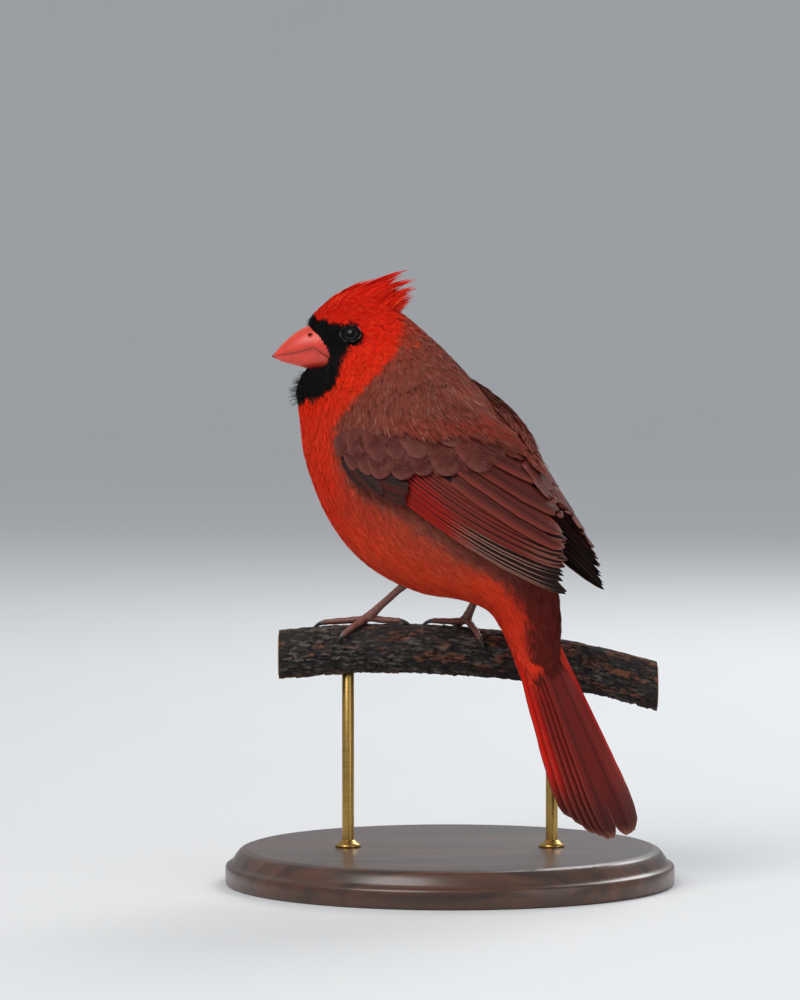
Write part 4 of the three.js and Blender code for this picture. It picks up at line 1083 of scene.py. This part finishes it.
# The longest crest feathers stand free behind the head, each a thin wisp.
for root_x, root_z, tip_x, tip_z, off, wide in CREST_WISPS:
    wisp_root = np.array([[root_x, HEAD_Y + off, root_z]])
    wisp_tip = np.array([[tip_x, HEAD_Y + 0.6 * off, tip_z]])
    rise = unit(np.array([[root_z - tip_z, 0, tip_x - root_x]]))
    wisp_point = np.stack([
        wisp_root + (wisp_tip - wisp_root) * s + rise * WISP_BOW * s * (1 - s) for s in BARB_STOPS], 1)
    out = unit(rise * 0.3 + np.array([[0, -1.0 if off <= 0 else 1.0, 0]]))
    across = unit(np.cross(out, wisp_tip - wisp_root))
    steady = [np.repeat(way[:, None], len(BARB_STOPS), 1) for way in (across, out)]
    plant(
        crest, (wisp_point, *steady), wisp_tuft, wide * np.ones(1), 0.0, 0.1, CROWN[None] * 0.7,
        CROWN[None] * 0.8, CROWN[None], np.array([[0.9, 0.5 + 0.05 * off]]), chance, 0.12, 0.05)
crest.piece("crest_feathers", coat_plumage, "red_plumage")

# The bill: two horny halves that meet in a line with a bend near the cheek. The upper one has a curved
# ridge and a nostril on each side. Its top, its bottom and half its width are at equal steps from the
# base to the tip.
BILL_BASE_X, BILL_TIP_X = -39.0, -59.5
BILL_ROWS = np.array([
    (185.6, 170.6, 7.0), (186.6, 170.9, 6.8), (186.3, 171.3, 6.3), (185.0, 172.0, 5.4), (182.7, 172.8, 4.2),
    (179.6, 173.8, 2.7), (175.9, 175.3, 0.5),
])
MOUTH_X = [-59.6, -51.0, -45.2, -40.0]
MOUTH_Z = [175.6, 176.9, 178.4, 174.8]
MOUTH_GAP = 0.04
NOSTRIL_X, NOSTRIL_Z, NOSTRIL_RADIUS = -46.6, 182.9, 0.95
BILL_PINCH = 0.16
LIP = 0.86
BILL_CORAL = paint(220, 60, 42)
BILL_PALE_AND_HIGHLIGHT = paint(234, 102, 78)
BILL_TIP_DARK = paint(96, 38, 30)
BILL_MOUTH_SHADE = paint(160, 40, 32)


def bill_half(upper):
    """Half of the bill: a skin round it from the line of the mouth, closed by a flat floor."""
    along, round_it, faces = sheet(90, 72)
    top, bottom, wide = through(BILL_ROWS, along * (len(BILL_ROWS) - 1)).T
    x = BILL_BASE_X + (BILL_TIP_X - BILL_BASE_X) * along
    mouth = np.interp(x, MOUTH_X, MOUTH_Z) + (MOUTH_GAP if upper else -MOUTH_GAP)
    mouth = np.clip(mouth, bottom + 0.02, top - 0.02)
    middle, high = (top + bottom) / 2, (top - bottom) / 2
    way = 1 if upper else -1
    reach = np.arccos(np.clip(way * (mouth - middle) / high, -1, 1))
    turn = reach * np.clip(round_it / LIP, -1, 1)
    pinch = 1 - BILL_PINCH * np.maximum(0, way * np.cos(turn)) ** 2
    full = 1 if upper else np.interp(along, [0, 0.5, 1], [0.5, 0.7, 1.0])
    y = wide * np.sign(turn) * np.abs(np.sin(turn)) ** full * pinch
    z = middle + way * high * np.cos(turn)
    inner = np.clip((np.abs(round_it) - LIP) / (1 - LIP), 0, 1)
    y = y * (1 - inner)
    from_nostril = np.hypot(x - NOSTRIL_X, (z - NOSTRIL_Z) * 1.3)
    hole = smooth(NOSTRIL_RADIUS, 0.3, from_nostril) * upper * (np.abs(y) > 2)
    y = y * (1 - 0.22 * hole)
    points = np.column_stack([x, HEAD_Y + y, z])
    # Painted highlight: the upper half is paler along the top of its ridge. The paler base of the lower half
    # below is its own colour.
    tint = blend(BILL_CORAL, BILL_PALE_AND_HIGHLIGHT, smooth(0.75, 1.0, np.cos(turn)) * 0.5 * upper)
    # Painted shade: darker along the line of the mouth, where the two halves meet.
    tint = blend(tint, BILL_MOUTH_SHADE, 0.7 * smooth(0.86, 0.99, np.abs(round_it) / LIP))
    tint = blend(tint, BILL_PALE_AND_HIGHLIGHT, 0.35 * smooth(0.35, 0.05, along) * (1 - upper))
    tint = blend(tint, BILL_TIP_DARK, 0.85 * smooth(0.93, 1.0, along))
    # Painted shade: the nostril's opening is tinted black.
    tint = blend(tint, MASK, hole)
    return points, faces, tint


GRAIN_INPUTS = {"Stretch": "Vector", "Scale": "Float", "Detail": "Float", "Distortion": "Float"}


def grain_height(group, given):
    """Noise through a piece, from its own coordinates drawn out along it."""
    place = put(group, "ShaderNodeTexCoord").outputs["Object"]
    drawn = put(group, "ShaderNodeVectorMath", {0: place, 1: given["Stretch"]}, operation="MULTIPLY")
    return put(group, "ShaderNodeTexNoise", {
        "Vector": drawn.outputs[0], "Scale": given["Scale"], "Detail": given["Detail"],
        "Distortion": given["Distortion"]}).outputs["Fac"]


growth = shade_group("growth", GRAIN_INPUTS, grain_height)


def grown(name, roughness, coat, scale, stretch, contrast, bump, detail=5.0, coat_roughness=0.25, shine=0.5):
    """A finish that has grown, as horn, scales and bark have: its own colours with a fine grain."""
    values = {"Stretch": stretch, "Scale": scale, "Detail": detail, "Contrast": contrast}
    return tinted(
        name, growth, values, bump, Roughness=roughness, Coat_Weight=coat, Coat_Roughness=coat_roughness,
        Specular_IOR_Level=shine)


bill_horn = grown("bill horn", 0.42, 0.15, 420, (1, 1, 0.45), 0.13, 0.25)
for half_name, upper in (("bill_top", 1), ("bill_bottom", 0)):
    bill_points, bill_faces, bill_tint = bill_half(upper)
    bill_piece = mesh_piece(half_name, bill_points, [bill_faces], bill_horn, bill_tint)
    edit(bill_piece, close_ends)
    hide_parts("bill_upper" if upper else "bill_lower")

# The eyes: near black wet balls, a little flat in front, with a slightly paler ring round the pupil. Each
# lies in an oval rim of bare dark lid, whose outer edge is a thin broken line of grey.
EYE_COLOUR = paint(12, 10, 10)
EYE_RIM = paint(38, 34, 34)
EYE_PUPIL = paint(4, 3, 4)
EYE_FLAT, EYE_OPEN = 0.8, 2.25
LID_OUT, LID_THICK, LID_TURN, LID_TILT = 1.72, 0.30, 14.0, 18.0
LID_GREY = paint(128, 120, 116)
LID_DARK = paint(9, 8, 8)


def eye_way(side):
    """The way an eye looks, out of the head, a little up and forwards."""
    tilt, turn = math.radians(LID_TILT), math.radians(LID_TURN)
    level = math.cos(tilt)
    return np.array([-math.sin(turn) * level, -side * math.cos(turn) * level, math.sin(tilt)])


def ball(radius, segments, rings):
    """The points of a ball, with its faces of four corners and those of three."""
    mesh = bmesh.new()
    bmesh.ops.create_uvsphere(mesh, u_segments=segments, v_segments=rings, radius=radius)
    points = np.array([v.co[:] for v in mesh.verts])
    quads, tris = (
        np.array([[v.index for v in face.verts] for face in mesh.faces if len(face.verts) == count])
        for count in (4, 3))
    mesh.free()
    return points, quads, tris


eye_wet = grown("eye", 0.2, 0.3, 2600, (1, 1, 1), 0.1, 0.0, detail=2.0, coat_roughness=0.03, shine=0.04)
lid_skin = grown("bare lid", 0.7, 0.0, 2400, (1, 1, 1), 0.25, 0.6, shine=0.06)
for eye_side, side in (("left", 1), ("right", -1)):
    centre = np.array([EYE_X, HEAD_Y - side * EYE_SIDE, EYE_Z])
    way = eye_way(side)
    eye_points, eye_quads, eye_tris = ball(EYE_RADIUS, 48, 32)
    turned_out = Vector((0, 0, 1)).rotation_difference(Vector(way)).to_matrix()
    eye_points = eye_points @ np.array(turned_out).T
    off_axis = np.degrees(np.arccos(np.clip(unit(eye_points) @ way, -1, 1)))
    front = np.maximum(eye_points @ way, 0)
    eye_points = centre + eye_points - way * (front * (1 - EYE_FLAT))[:, None]
    eye_tint = blend(EYE_PUPIL, EYE_COLOUR, smooth(23, 27, off_axis))
    eye_tint = blend(eye_tint, EYE_RIM, smooth(36, 42, off_axis))
    eye_tint = blend(eye_tint, EYE_PUPIL, smooth(45, 50, off_axis))
    eye = mesh_piece(
        "eye_ball_" + eye_side, eye_points, [eye_quads, eye_tris], eye_wet, eye_tint)
    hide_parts("eye_" + eye_side)

    around, over, lid_faces = sheet(64, 16)
    first = unit(np.cross(way, [0, 0, 1.0]))
    second = np.cross(way, first)
    swing = around * 2 * np.pi
    ring = first * np.cos(swing)[:, None] + second * np.sin(swing)[:, None]
    cross = over * np.pi
    reach = 1 / np.hypot(np.cos(swing) / EYE_LONG, np.sin(swing) / EYE_HIGH)
    middle, wide = (reach + EYE_OPEN) / 2, (reach - EYE_OPEN) / 2
    crumpled = 1 + 0.12 * np.sin(swing * 26) * np.sin(over * 3 * np.pi)
    raised = LID_OUT - 0.10 * np.cos(cross) + LID_THICK * crumpled * np.sin(cross)
    lid_points = centre + ring * (middle + wide * np.cos(cross))[:, None] + way * raised[:, None]
    rim = smooth(0.62, 0.84, np.cos(cross)) * (0.55 + 0.45 * np.sin(swing * 7 + 1))
    lid = mesh_piece(
        "eyelids_" + eye_side, lid_points, [lid_faces], lid_skin,
        blend(LID_DARK, LID_GREY, rim))
    edit(lid, close_ends)

# Bristles of the face: stiff black hairs that stand forward round the root of the bill, short on the
# forehead and at the gape and longer under the chin. Each is a thin round rod rooted in the skin.


def tubes(paths, radii, sides):
    """Round rods along paths, as points and faces: paths and radii are number, step."""
    number, steps, _ = paths.shape
    along, round_it, faces = sheet(steps - 1, sides)
    step = np.round(along * (steps - 1)).astype(int)
    way = unit(np.gradient(paths, axis=1))
    aside = unit(np.cross(way, [0.31, 0.92, 0.24]))
    over = np.cross(aside, way)
    turn = round_it * np.pi
    points = (
        paths[:, step] + aside[:, step] * (radii[:, step] * np.cos(turn))[..., None]
        + over[:, step] * (radii[:, step] * np.sin(turn))[..., None])
    first = (np.arange(number) * len(along))[:, None, None]
    return points.reshape(-1, 3), (faces[None] + first).reshape(-1, 4), np.tile(along, number)


chance = np.random.default_rng(97)
BRISTLES = [
    # number, places, turns from the back, length, how far they lean forward
    (50, (0.95, 1.5), (-0.6, 0.6), (0.8, 1.4), (0.7, 1.1)),
    (190, (1.2, 5.4), (2.55, 3.75), (1.6, 3.6), (0.25, 0.8)),
    (14, (2.9, 3.4), (1.9, 2.5), (0.8, 1.4), (0.2, 0.5)),
    (14, (2.9, 3.4), (3.8, 4.4), (0.8, 1.4), (0.2, 0.5)),
]
BRISTLE_STOPS = 6
bristle_paths = []
for number, places, turns, lengths, leans in BRISTLES:
    place = chance.uniform(*places, number)
    turn = chance.uniform(*turns, number)
    point, along, _, out = lie(body, place, turn)
    on_mask = inside_line(MASK_LINE, point[:, 0], point[:, 2]) > 0.4
    on_mask &= inside_line(np.array(FACE_LINE), point[:, 0], point[:, 2]) < -0.6
    point, along, out = point[on_mask], along[on_mask], out[on_mask]
    number = len(point)
    forward = np.array([-1.0, 0, 0]) - 0.15 * bird_up
    lean = chance.uniform(*leans, number)[:, None]
    way = unit(out * (1.2 - 0.7 * lean) + forward * lean + chance.normal(0, 0.16, (number, 3)))
    long = chance.uniform(*lengths, number)[:, None]
    bend = chance.normal(0, 0.10, (number, 3)) - 0.12 * bird_up
    stops = np.linspace(0, 1, BRISTLE_STOPS)
    bristle_paths.append(np.stack([
        point - out * 0.4 + way * long * s + bend * long * s * s for s in stops], 1))
bristle_paths = np.concatenate(bristle_paths)
bristle_girth = chance.uniform(0.8, 1.2, (len(bristle_paths), 1))
bristle_radii = np.linspace(0.07, 0.02, BRISTLE_STOPS)[None] * bristle_girth
bristle_points, bristle_faces, _ = tubes(bristle_paths, bristle_radii, 4)
bristle_black = grown("bristles", 0.5, 0.0, 900, (1, 1, 1), 0.3, 0.0)
bristles = mesh_piece(
    "face_bristles", bristle_points, [bristle_faces], bristle_black,
    np.tile(MASK, (len(bristle_points), 1)))
edit(bristles, close_ends)

# The perch: a cut length of pine branch with flaky bark. The bark is broken into plates by cracks, dark
# outside and orange brown where a flake has come away.
BRANCH_FROM, BRANCH_TO, BRANCH_RADIUS = -57.0, 69.0, 8.2
BRANCH_TOP, BRANCH_BEND, BRANCH_HIGH_X = 78.5, 0.0016, -20.0
PLATE_LONG, PLATE_ROUND = 7.5, 3.6
BARK_DARK = paint(38, 33, 31)
BARK_GREY = paint(92, 84, 78)
BARK_ORANGE = paint(112, 62, 38)
BARK_CRACK_SHADE = paint(20, 16, 15)
CUT_WOOD = paint(196, 158, 112)
CUT_DARK = paint(150, 108, 70)


def branch_z(x):
    return BRANCH_TOP - BRANCH_BEND * (x - BRANCH_HIGH_X) ** 2


def on_branch(x, turn, out):
    """Points round the branch: x along it, the turn from its top towards the camera's side."""
    reach = BRANCH_RADIUS + out
    return np.stack([x + 0 * turn, -reach * np.sin(turn), branch_z(x) + reach * np.cos(turn)], -1)


branch_along, branch_round, branch_faces = sheet(420, 150)
branch_x = BRANCH_FROM + (BRANCH_TO - BRANCH_FROM) * branch_along
branch_turn = branch_round * np.pi
bark_height, bark_plate, bark_fine, bark_bare = np.empty((4, len(branch_x)))
for k, (x, turn) in enumerate(zip(branch_x, branch_turn)):
    ring = Vector((x / PLATE_LONG, math.sin(turn) * PLATE_ROUND, math.cos(turn) * PLATE_ROUND))
    torn = ring + noise.noise_vector(ring * 1.3) * 0.45 + noise.noise_vector(ring * 4.7) * 0.22
    near, cells = noise.voronoi(torn)
    bark_height[k] = near[1] - near[0]
    bark_plate[k] = noise.cell(cells[0] * 7.3)
    bark_fine[k] = noise.fractal(ring * 2.6, 0.8, 2.0, 5)
    bark_bare[k] = noise.fractal(ring * 0.55, 0.9, 2.0, 5)
crack = smooth(0.0, 0.16, bark_height + 0.10 * bark_fine)
top_calm = smooth(0.55, 0.95, np.cos(branch_turn))
bark_out = -0.75 + 0.5 * crack + 0.35 * bark_plate * crack + 0.42 * bark_fine
bark_out = bark_out * (1 - 0.5 * top_calm) + 0.1 * top_calm
branch_points = on_branch(branch_x, branch_turn, bark_out)
bark_tint = blend(BARK_DARK, BARK_GREY, smooth(0.0, 0.8, bark_fine + 0.3 * bark_plate))
bare = smooth(0.10, 0.55, bark_bare + 0.45 * bark_fine + 0.15 * bark_plate)
bark_tint = blend(bark_tint, BARK_ORANGE * (0.7 + 0.5 * bark_plate[:, None]), 0.8 * bare)
# Painted shade: the cracks between the plates are tinted near black.
bark_tint = blend(BARK_CRACK_SHADE, bark_tint, crack)
pine_bark = grown("pine bark", 0.9, 0.0, 700, (1, 1, 1), 0.35, 1.0)
perch = mesh_piece("pine_perch", branch_points, [branch_faces], pine_bark, bark_tint)
edit(perch, close_ends)
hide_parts("perch_branch")

# The cut ends of the branch: pale sawn wood with yearly rings, just proud of the edge of the bark.
wood_end = grown("cut pine wood", 0.75, 0.0, 500, (1, 1, 1), 0.15, 0.4)
for end_name, end_x, way in (("left", BRANCH_FROM, -1), ("right", BRANCH_TO, 1)):
    outwards, around, end_faces = sheet(26, 60)
    reach = outwards * (BRANCH_RADIUS - 0.9)
    swing = around * np.pi
    wobble = 1 + 0.03 * np.sin(3 * swing) + 0.02 * np.sin(5 * swing + 1)
    end_points = np.column_stack([
        end_x + way * (0.35 * smooth(1.0, 0.9, outwards) - 0.05), -reach * wobble * np.sin(swing),
        branch_z(end_x) + reach * wobble * np.cos(swing)])
    rings = 0.5 + 0.5 * np.sin(reach * 7.5)
    end_tint = blend(CUT_WOOD, CUT_DARK, rings * 0.7)
    end_piece = mesh_piece(
        "branch_end_" + end_name, end_points, [end_faces], wood_end, end_tint)
    edit(end_piece, close_ends)

# The legs and feet: thin bare shanks with a row of scales in front, and three toes forward and one back
# that grip the branch, each with bands of scales above, pads below and a curved claw.
LEGS = [
    ("left", (-27.0, -0.6), (-9.5, -9.0, 104.5), 0.0, 1),
    ("right", (5.3, 0.4), (15.8, -8.5, 108.5), 14.0, -1),
]
TOES = [("inner", 42, 11.0), ("middle", -18, 15.5), ("outer", -72, 12.0), ("hind", 158, 10.5)]
TOE_RADIUS, KNUCKLE_RADIUS, SHANK_RADIUS = 1.15, 1.9, 1.25
CLAW_LONG, CLAW_RADIUS, CLAW_CURVE = 6.0, 0.86, 1.1
FOOT_LIFT = 0.15
LEG_SKIN = paint(112, 66, 56)
LEG_SHADE = paint(78, 48, 44)
LEG_HIGHLIGHT = paint(146, 98, 84)
CLAW_DARK = paint(34, 26, 24)
CLAW_PALE = paint(96, 78, 70)


def toe_path(foot, turn, flip, way, long, steps):
    way = math.radians(BODY_YAW + turn + flip * way)
    gone = np.linspace(0, long, steps)
    settle = np.exp(-gone / 2.2)
    x = foot[0] - gone * math.cos(way)
    round_it = (-foot[1] - gone * math.sin(way)) / (BRANCH_RADIUS + TOE_RADIUS)
    return on_branch(x, round_it, TOE_RADIUS + FOOT_LIFT + 1.2 * settle)


def scaly_rod(path, radii, bands, sides):
    """A limb with bands of overlapping scales on its upper side, as points, faces and colours."""
    points, faces, along = tubes(path[None], radii[None], sides)
    middle = path[np.round(along * (len(path) - 1)).astype(int)]
    out = points - middle
    lie_up = smooth(-0.35, 0.5, unit(out)[:, 2] - 0.25 * unit(out)[:, 0])
    band = (along * bands) % 1.0
    scale = 0.09 * band * lie_up - 0.05 * (band < 0.12) * lie_up
    pads = 0.05 * np.sin(along * bands * 1.9) * (1 - lie_up)
    points = middle + out * (1 + scale + pads)[:, None]
    # Painted highlight: on the upper side each scale grows paler towards its raised edge.
    tint = blend(LEG_SKIN, LEG_HIGHLIGHT, 0.6 * band * lie_up)
    # Painted shade: darker in the crease behind each scale's edge and all along the under side of the limb.
    tint = blend(tint, LEG_SHADE, 0.75 * smooth(0.14, 0.0, band) * lie_up + 0.35 * (1 - lie_up))
    return points, faces, tint


leg_scales = grown("leg scales", 0.5, 0.1, 1500, (1, 1, 1), 0.22, 0.5)
claw_horn = grown("claw horn", 0.35, 0.3, 900, (1, 1, 1), 0.15, 0.1)
for leg_side, foot, heel, turn, flip in LEGS:
    knuckle = on_branch(np.array(foot[0]), np.array(-foot[1] / BRANCH_RADIUS), TOE_RADIUS + FOOT_LIFT + 1.1)
    parts = []
    for toe_name, way, long in TOES:
        path = toe_path(foot, turn, flip, way, long, 60)
        share = np.linspace(0, 1, len(path))
        radii = TOE_RADIUS * (1.06 - 0.27 * share) * (1 + 0.05 * np.cos(share * 3 * 2 * np.pi))
        radii = radii * np.sqrt(np.clip((1.03 - share) / 0.06, 0.15, 1))
        parts.append(scaly_rod(path, radii, round(long * 0.9), 18))
        tip = path[-2]
        along = unit(path[-2] - path[-8])
        inwards = np.array([tip[0], 0, branch_z(tip[0])]) - tip
        inwards = unit(inwards * [0, 1, 1])
        bow = np.linspace(0, 1, 16)[:, None]
        claw_path = (
            tip - along * 0.5 + along * CLAW_LONG * 0.9 * np.sin(bow * CLAW_CURVE)
            + inwards * CLAW_LONG * 0.75 * (1 - np.cos(bow * CLAW_CURVE)))
        claw_radii = CLAW_RADIUS * (1 - bow[:, 0]) ** 0.8 + 0.05
        points, faces, claw_along = tubes(claw_path[None], claw_radii[None], 12)
        claw_tint = blend(CLAW_PALE, CLAW_DARK, smooth(0.0, 0.35, claw_along))
        claw = mesh_piece(
            "claw_tip_" + leg_side + "_" + toe_name, points, [faces], claw_horn, claw_tint)
        edit(claw, close_ends)
        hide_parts("claw_" + leg_side + "_" + toe_name)
    shank_share = np.linspace(0, 1, 90)
    heel = np.array(heel)
    shank = knuckle + (heel - knuckle) * shank_share[:, None]
    shank = shank + np.array([0, 0, 1.0]) * (0.6 * np.sin(shank_share * np.pi))[:, None]
    radii = SHANK_RADIUS * np.interp(shank_share, [0, 0.12, 0.35, 0.7, 1], [1.35, 1.1, 0.94, 1.02, 1.3])
    parts.append(scaly_rod(shank, radii, 11, 24))
    ball_points, ball_quads, ball_tris = ball(KNUCKLE_RADIUS, 24, 16)
    ball_points = ball_points * [1.1, 1.0, 0.85] + knuckle
    first = np.cumsum([0] + [len(points) for points, _, _ in parts])
    quads = [faces + start for (_, faces, _), start in zip(parts, first)] + [ball_quads + first[-1]]
    points = np.concatenate([points for points, _, _ in parts] + [ball_points])
    tint = np.concatenate([tint for _, _, tint in parts] + [np.tile(LEG_SKIN, (len(ball_points), 1))])
    leg = mesh_piece(
        "leg_" + leg_side, points, [np.concatenate(quads), ball_tris + first[-1]], leg_scales,
        tint)
    edit(leg, close_ends)
    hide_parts("tarsus_" + leg_side, "foot_" + leg_side)

# The display stand: a turned and polished dark wood base and two brass rods let into it and into the
# branch, each with a small collar on the base.
BASE_RADIUS, BASE_HEIGHT = 75.0, 12.0
ROD_RADIUS, ROD_X = 2.0, (-34.0, 34.0)
ROD_SOCKET = 6.0


grain, grain_given = new_group("grain", GRAIN_INPUTS, {"Height": "Float"})
put(grain, "NodeGroupOutput", {"Height": grain_height(grain, grain_given)})


def grained(tree, stretch, scale, detail=2.0, distortion=0.0):
    """The height of a grain in a material."""
    values = {"Stretch": stretch, "Scale": scale, "Detail": detail, "Distortion": distortion}
    return put(tree, "ShaderNodeGroup", values, node_tree=grain).outputs["Height"]


def ramp(tree, shader, height, stops):
    """Colours the shader by a height that runs through the stops of a ramp, as share and colour."""
    colours = put(tree, "ShaderNodeValToRGB", {"Fac": height})
    for element, (position, colour) in zip(colours.color_ramp.elements, stops):
        element.position = position
        element.color = (*colour, 1)
    tree.links.new(colours.outputs["Color"], shader.inputs["Base Color"])


def turned_wood():
    """Dark polished wood with grain along the base."""
    material, tree, shader = new_material(
        "polished wood", Roughness=0.38, Coat_Weight=0.4, Coat_Roughness=0.2)
    height = grained(tree, (6, 60, 60), 2.2, 8.0, 0.6)
    ramp(tree, shader, height, [(0.3, paint(44, 24, 15)), (0.7, paint(96, 58, 36))])
    relief = put(tree, "ShaderNodeBump", {"Strength": 0.12, "Distance": 0.0003, "Height": height})
    tree.links.new(relief.outputs["Normal"], shader.inputs["Normal"])
    return material


def brushed_brass():
    """Brass with fine brushing round the rods."""
    material, tree, shader = new_material("brushed brass", Metallic=1.0)
    height = grained(tree, (40, 40, 900), 1.5)
    ramp(tree, shader, height, [(0.0, paint(166, 128, 66)), (1.0, paint(206, 170, 100))])
    rough = put(tree, "ShaderNodeMapRange", {"Value": height, "To Min": 0.2, "To Max": 0.42})
    tree.links.new(rough.outputs["Result"], shader.inputs["Roughness"])
    return material


def lathe(name, profile, steps, material):
    """A piece turned on a lathe from a profile of radius and height in millimetres."""
    mesh = bmesh.new()
    corners = [mesh.verts.new(Vector((radius, 0, height)) * MM) for radius, height in profile]
    edges = [mesh.edges.new(pair) for pair in zip(corners, corners[1:])]
    bmesh.ops.spin(
        mesh, geom=corners + edges, axis=(0, 0, 1), cent=(0, 0, 0), dvec=(0, 0, 0), angle=2 * math.pi,
        steps=steps, use_merge=True)
    bmesh.ops.remove_doubles(mesh, verts=mesh.verts, dist=1e-6)
    bmesh.ops.recalc_face_normals(mesh, faces=mesh.faces)
    made = piece_from(mesh, name)
    made.data.polygons.foreach_set("use_smooth", [True] * len(made.data.polygons))
    made.data.materials.append(material)
    return made


def turned(name, profile, x, steps, material):
    """A turned part of the stand, over its place along the base."""
    made = lathe(name, profile, steps, material)
    made.data.transform(Matrix.Translation((x * MM, 0, 0)))
    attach(made, "root")
    return made


base_curve = [
    (BASE_RADIUS - 2.5 - 3.5 * s, 8.0 + 3.6 * math.sin(s * math.pi / 2)) for s in np.linspace(0, 1, 9)]
base_profile = (
    [(0, 0), (BASE_RADIUS - 1.0, 0), (BASE_RADIUS - 0.3, 0.3), (BASE_RADIUS, 1.0), (BASE_RADIUS, 5.6)]
    + [(BASE_RADIUS - 0.3, 6.3), (BASE_RADIUS - 0.9, 6.7), (BASE_RADIUS - 2.0, 7.2)] + base_curve
    + [(BASE_RADIUS - 6.8, BASE_HEIGHT - 0.05), (BASE_RADIUS - 7.6, BASE_HEIGHT), (0, BASE_HEIGHT)])
wood = turned_wood()
brass = brushed_brass()
base = turned("stand_wood_base", base_profile, 0, 128, wood)
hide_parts("stand_base")
for rod_side, x in zip(("left", "right"), ROD_X):
    top = branch_z(x) - BRANCH_RADIUS + ROD_SOCKET
    foot = BASE_HEIGHT - ROD_SOCKET
    rod_profile = [
        (0, foot), (ROD_RADIUS, foot), (ROD_RADIUS, BASE_HEIGHT + 1.4), (ROD_RADIUS, top - 0.4),
        (ROD_RADIUS - 0.4, top), (0, top)]
    rod = turned("stand_brass_rod_" + rod_side, rod_profile, x, 48, brass)
    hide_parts("stand_rod_" + rod_side)
    collar_profile = [
        (ROD_RADIUS, BASE_HEIGHT), (4.2, BASE_HEIGHT), (4.4, BASE_HEIGHT + 0.3), (4.2, BASE_HEIGHT + 0.9),
        (3.2, BASE_HEIGHT + 1.3), (2.5, BASE_HEIGHT + 2.2), (ROD_RADIUS, BASE_HEIGHT + 2.4)]
    turned("stand_collar_" + rod_side, collar_profile, x, 48, brass)

# The studio: a pale floor, soft light from large lamps and the camera at the photograph's angle. The floor
# is a wide flat disc whose rim, far behind, rises in one smooth curve, so that it shows no horizon.
TARGET = Vector((-16.67, 0, 128)) * MM
DISTANCE, ELEVATION = 1.85, 3.0
STAGE_NEAR, STAGE_FLAT, STAGE_RIM = 1600.0, 3200.0, 3000.0
RIM_TURN, RIM_STEPS = math.pi / 2 * 0.9, 24

floor_pale, tree, shader = new_material("pale floor", Roughness=0.7)
ramp(tree, shader, grained(tree, (1, 1, 1), 3.0), [(0.0, (0.76, 0.77, 0.78)), (1.0, (0.80, 0.81, 0.82))])
stage_profile = [(0.0, 0.0), (STAGE_NEAR, 0.0)] + [
    (STAGE_FLAT + STAGE_RIM * math.sin(swing), STAGE_RIM * (1 - math.cos(swing)))
    for swing in np.linspace(0, RIM_TURN, RIM_STEPS)]
floor = lathe("floor", stage_profile, 96, floor_pale)
if floor.data.polygons[0].normal.z < 0:
    floor.data.flip_normals()
floor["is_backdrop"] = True


def lamp(name, place, aim, size, power, colour):
    light = bpy.data.lights.new(name, "AREA")
    light.shape = "DISK"
    light.size = size
    light.energy = power
    light.color = colour
    made = bpy.data.objects.new(name, light)
    made.location = place
    made.rotation_euler = (Vector(aim) - Vector(place)).to_track_quat("-Z", "Y").to_euler()
    bpy.context.scene.collection.objects.link(made)


lamp("key", (-0.7, -0.9, 1.3), (0, 0, 0.13), 1.0, 15, (1.0, 0.98, 0.95))
lamp("fill", (1.2, -0.9, 0.6), (0, 0, 0.12), 1.2, 4, (0.93, 0.96, 1.0))
lamp("rim", (0.5, 1.1, 1.0), (0, 0, 0.13), 0.8, 9, (1.0, 1.0, 1.0))
world = bpy.data.worlds.new("studio")
world.use_nodes = True
world.node_tree.nodes["Background"].inputs["Color"].default_value = (0.82, 0.86, 0.9, 1)
world.node_tree.nodes["Background"].inputs["Strength"].default_value = 0.5
bpy.context.scene.world = world
bpy.context.scene.view_settings.view_transform = "Standard"

lens = bpy.data.cameras.new("camera")
lens.lens = 200
lens.sensor_width = 36
lens.clip_start = 0.05
camera = bpy.data.objects.new("camera", lens)
rise = math.radians(ELEVATION)
back = Vector((0, -math.cos(rise), math.sin(rise)))
camera.location = TARGET + back * DISTANCE
camera.rotation_euler = (-back).to_track_quat("-Z", "Y").to_euler()
bpy.context.scene.collection.objects.link(camera)
bpy.context.scene.camera = camera

low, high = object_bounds()
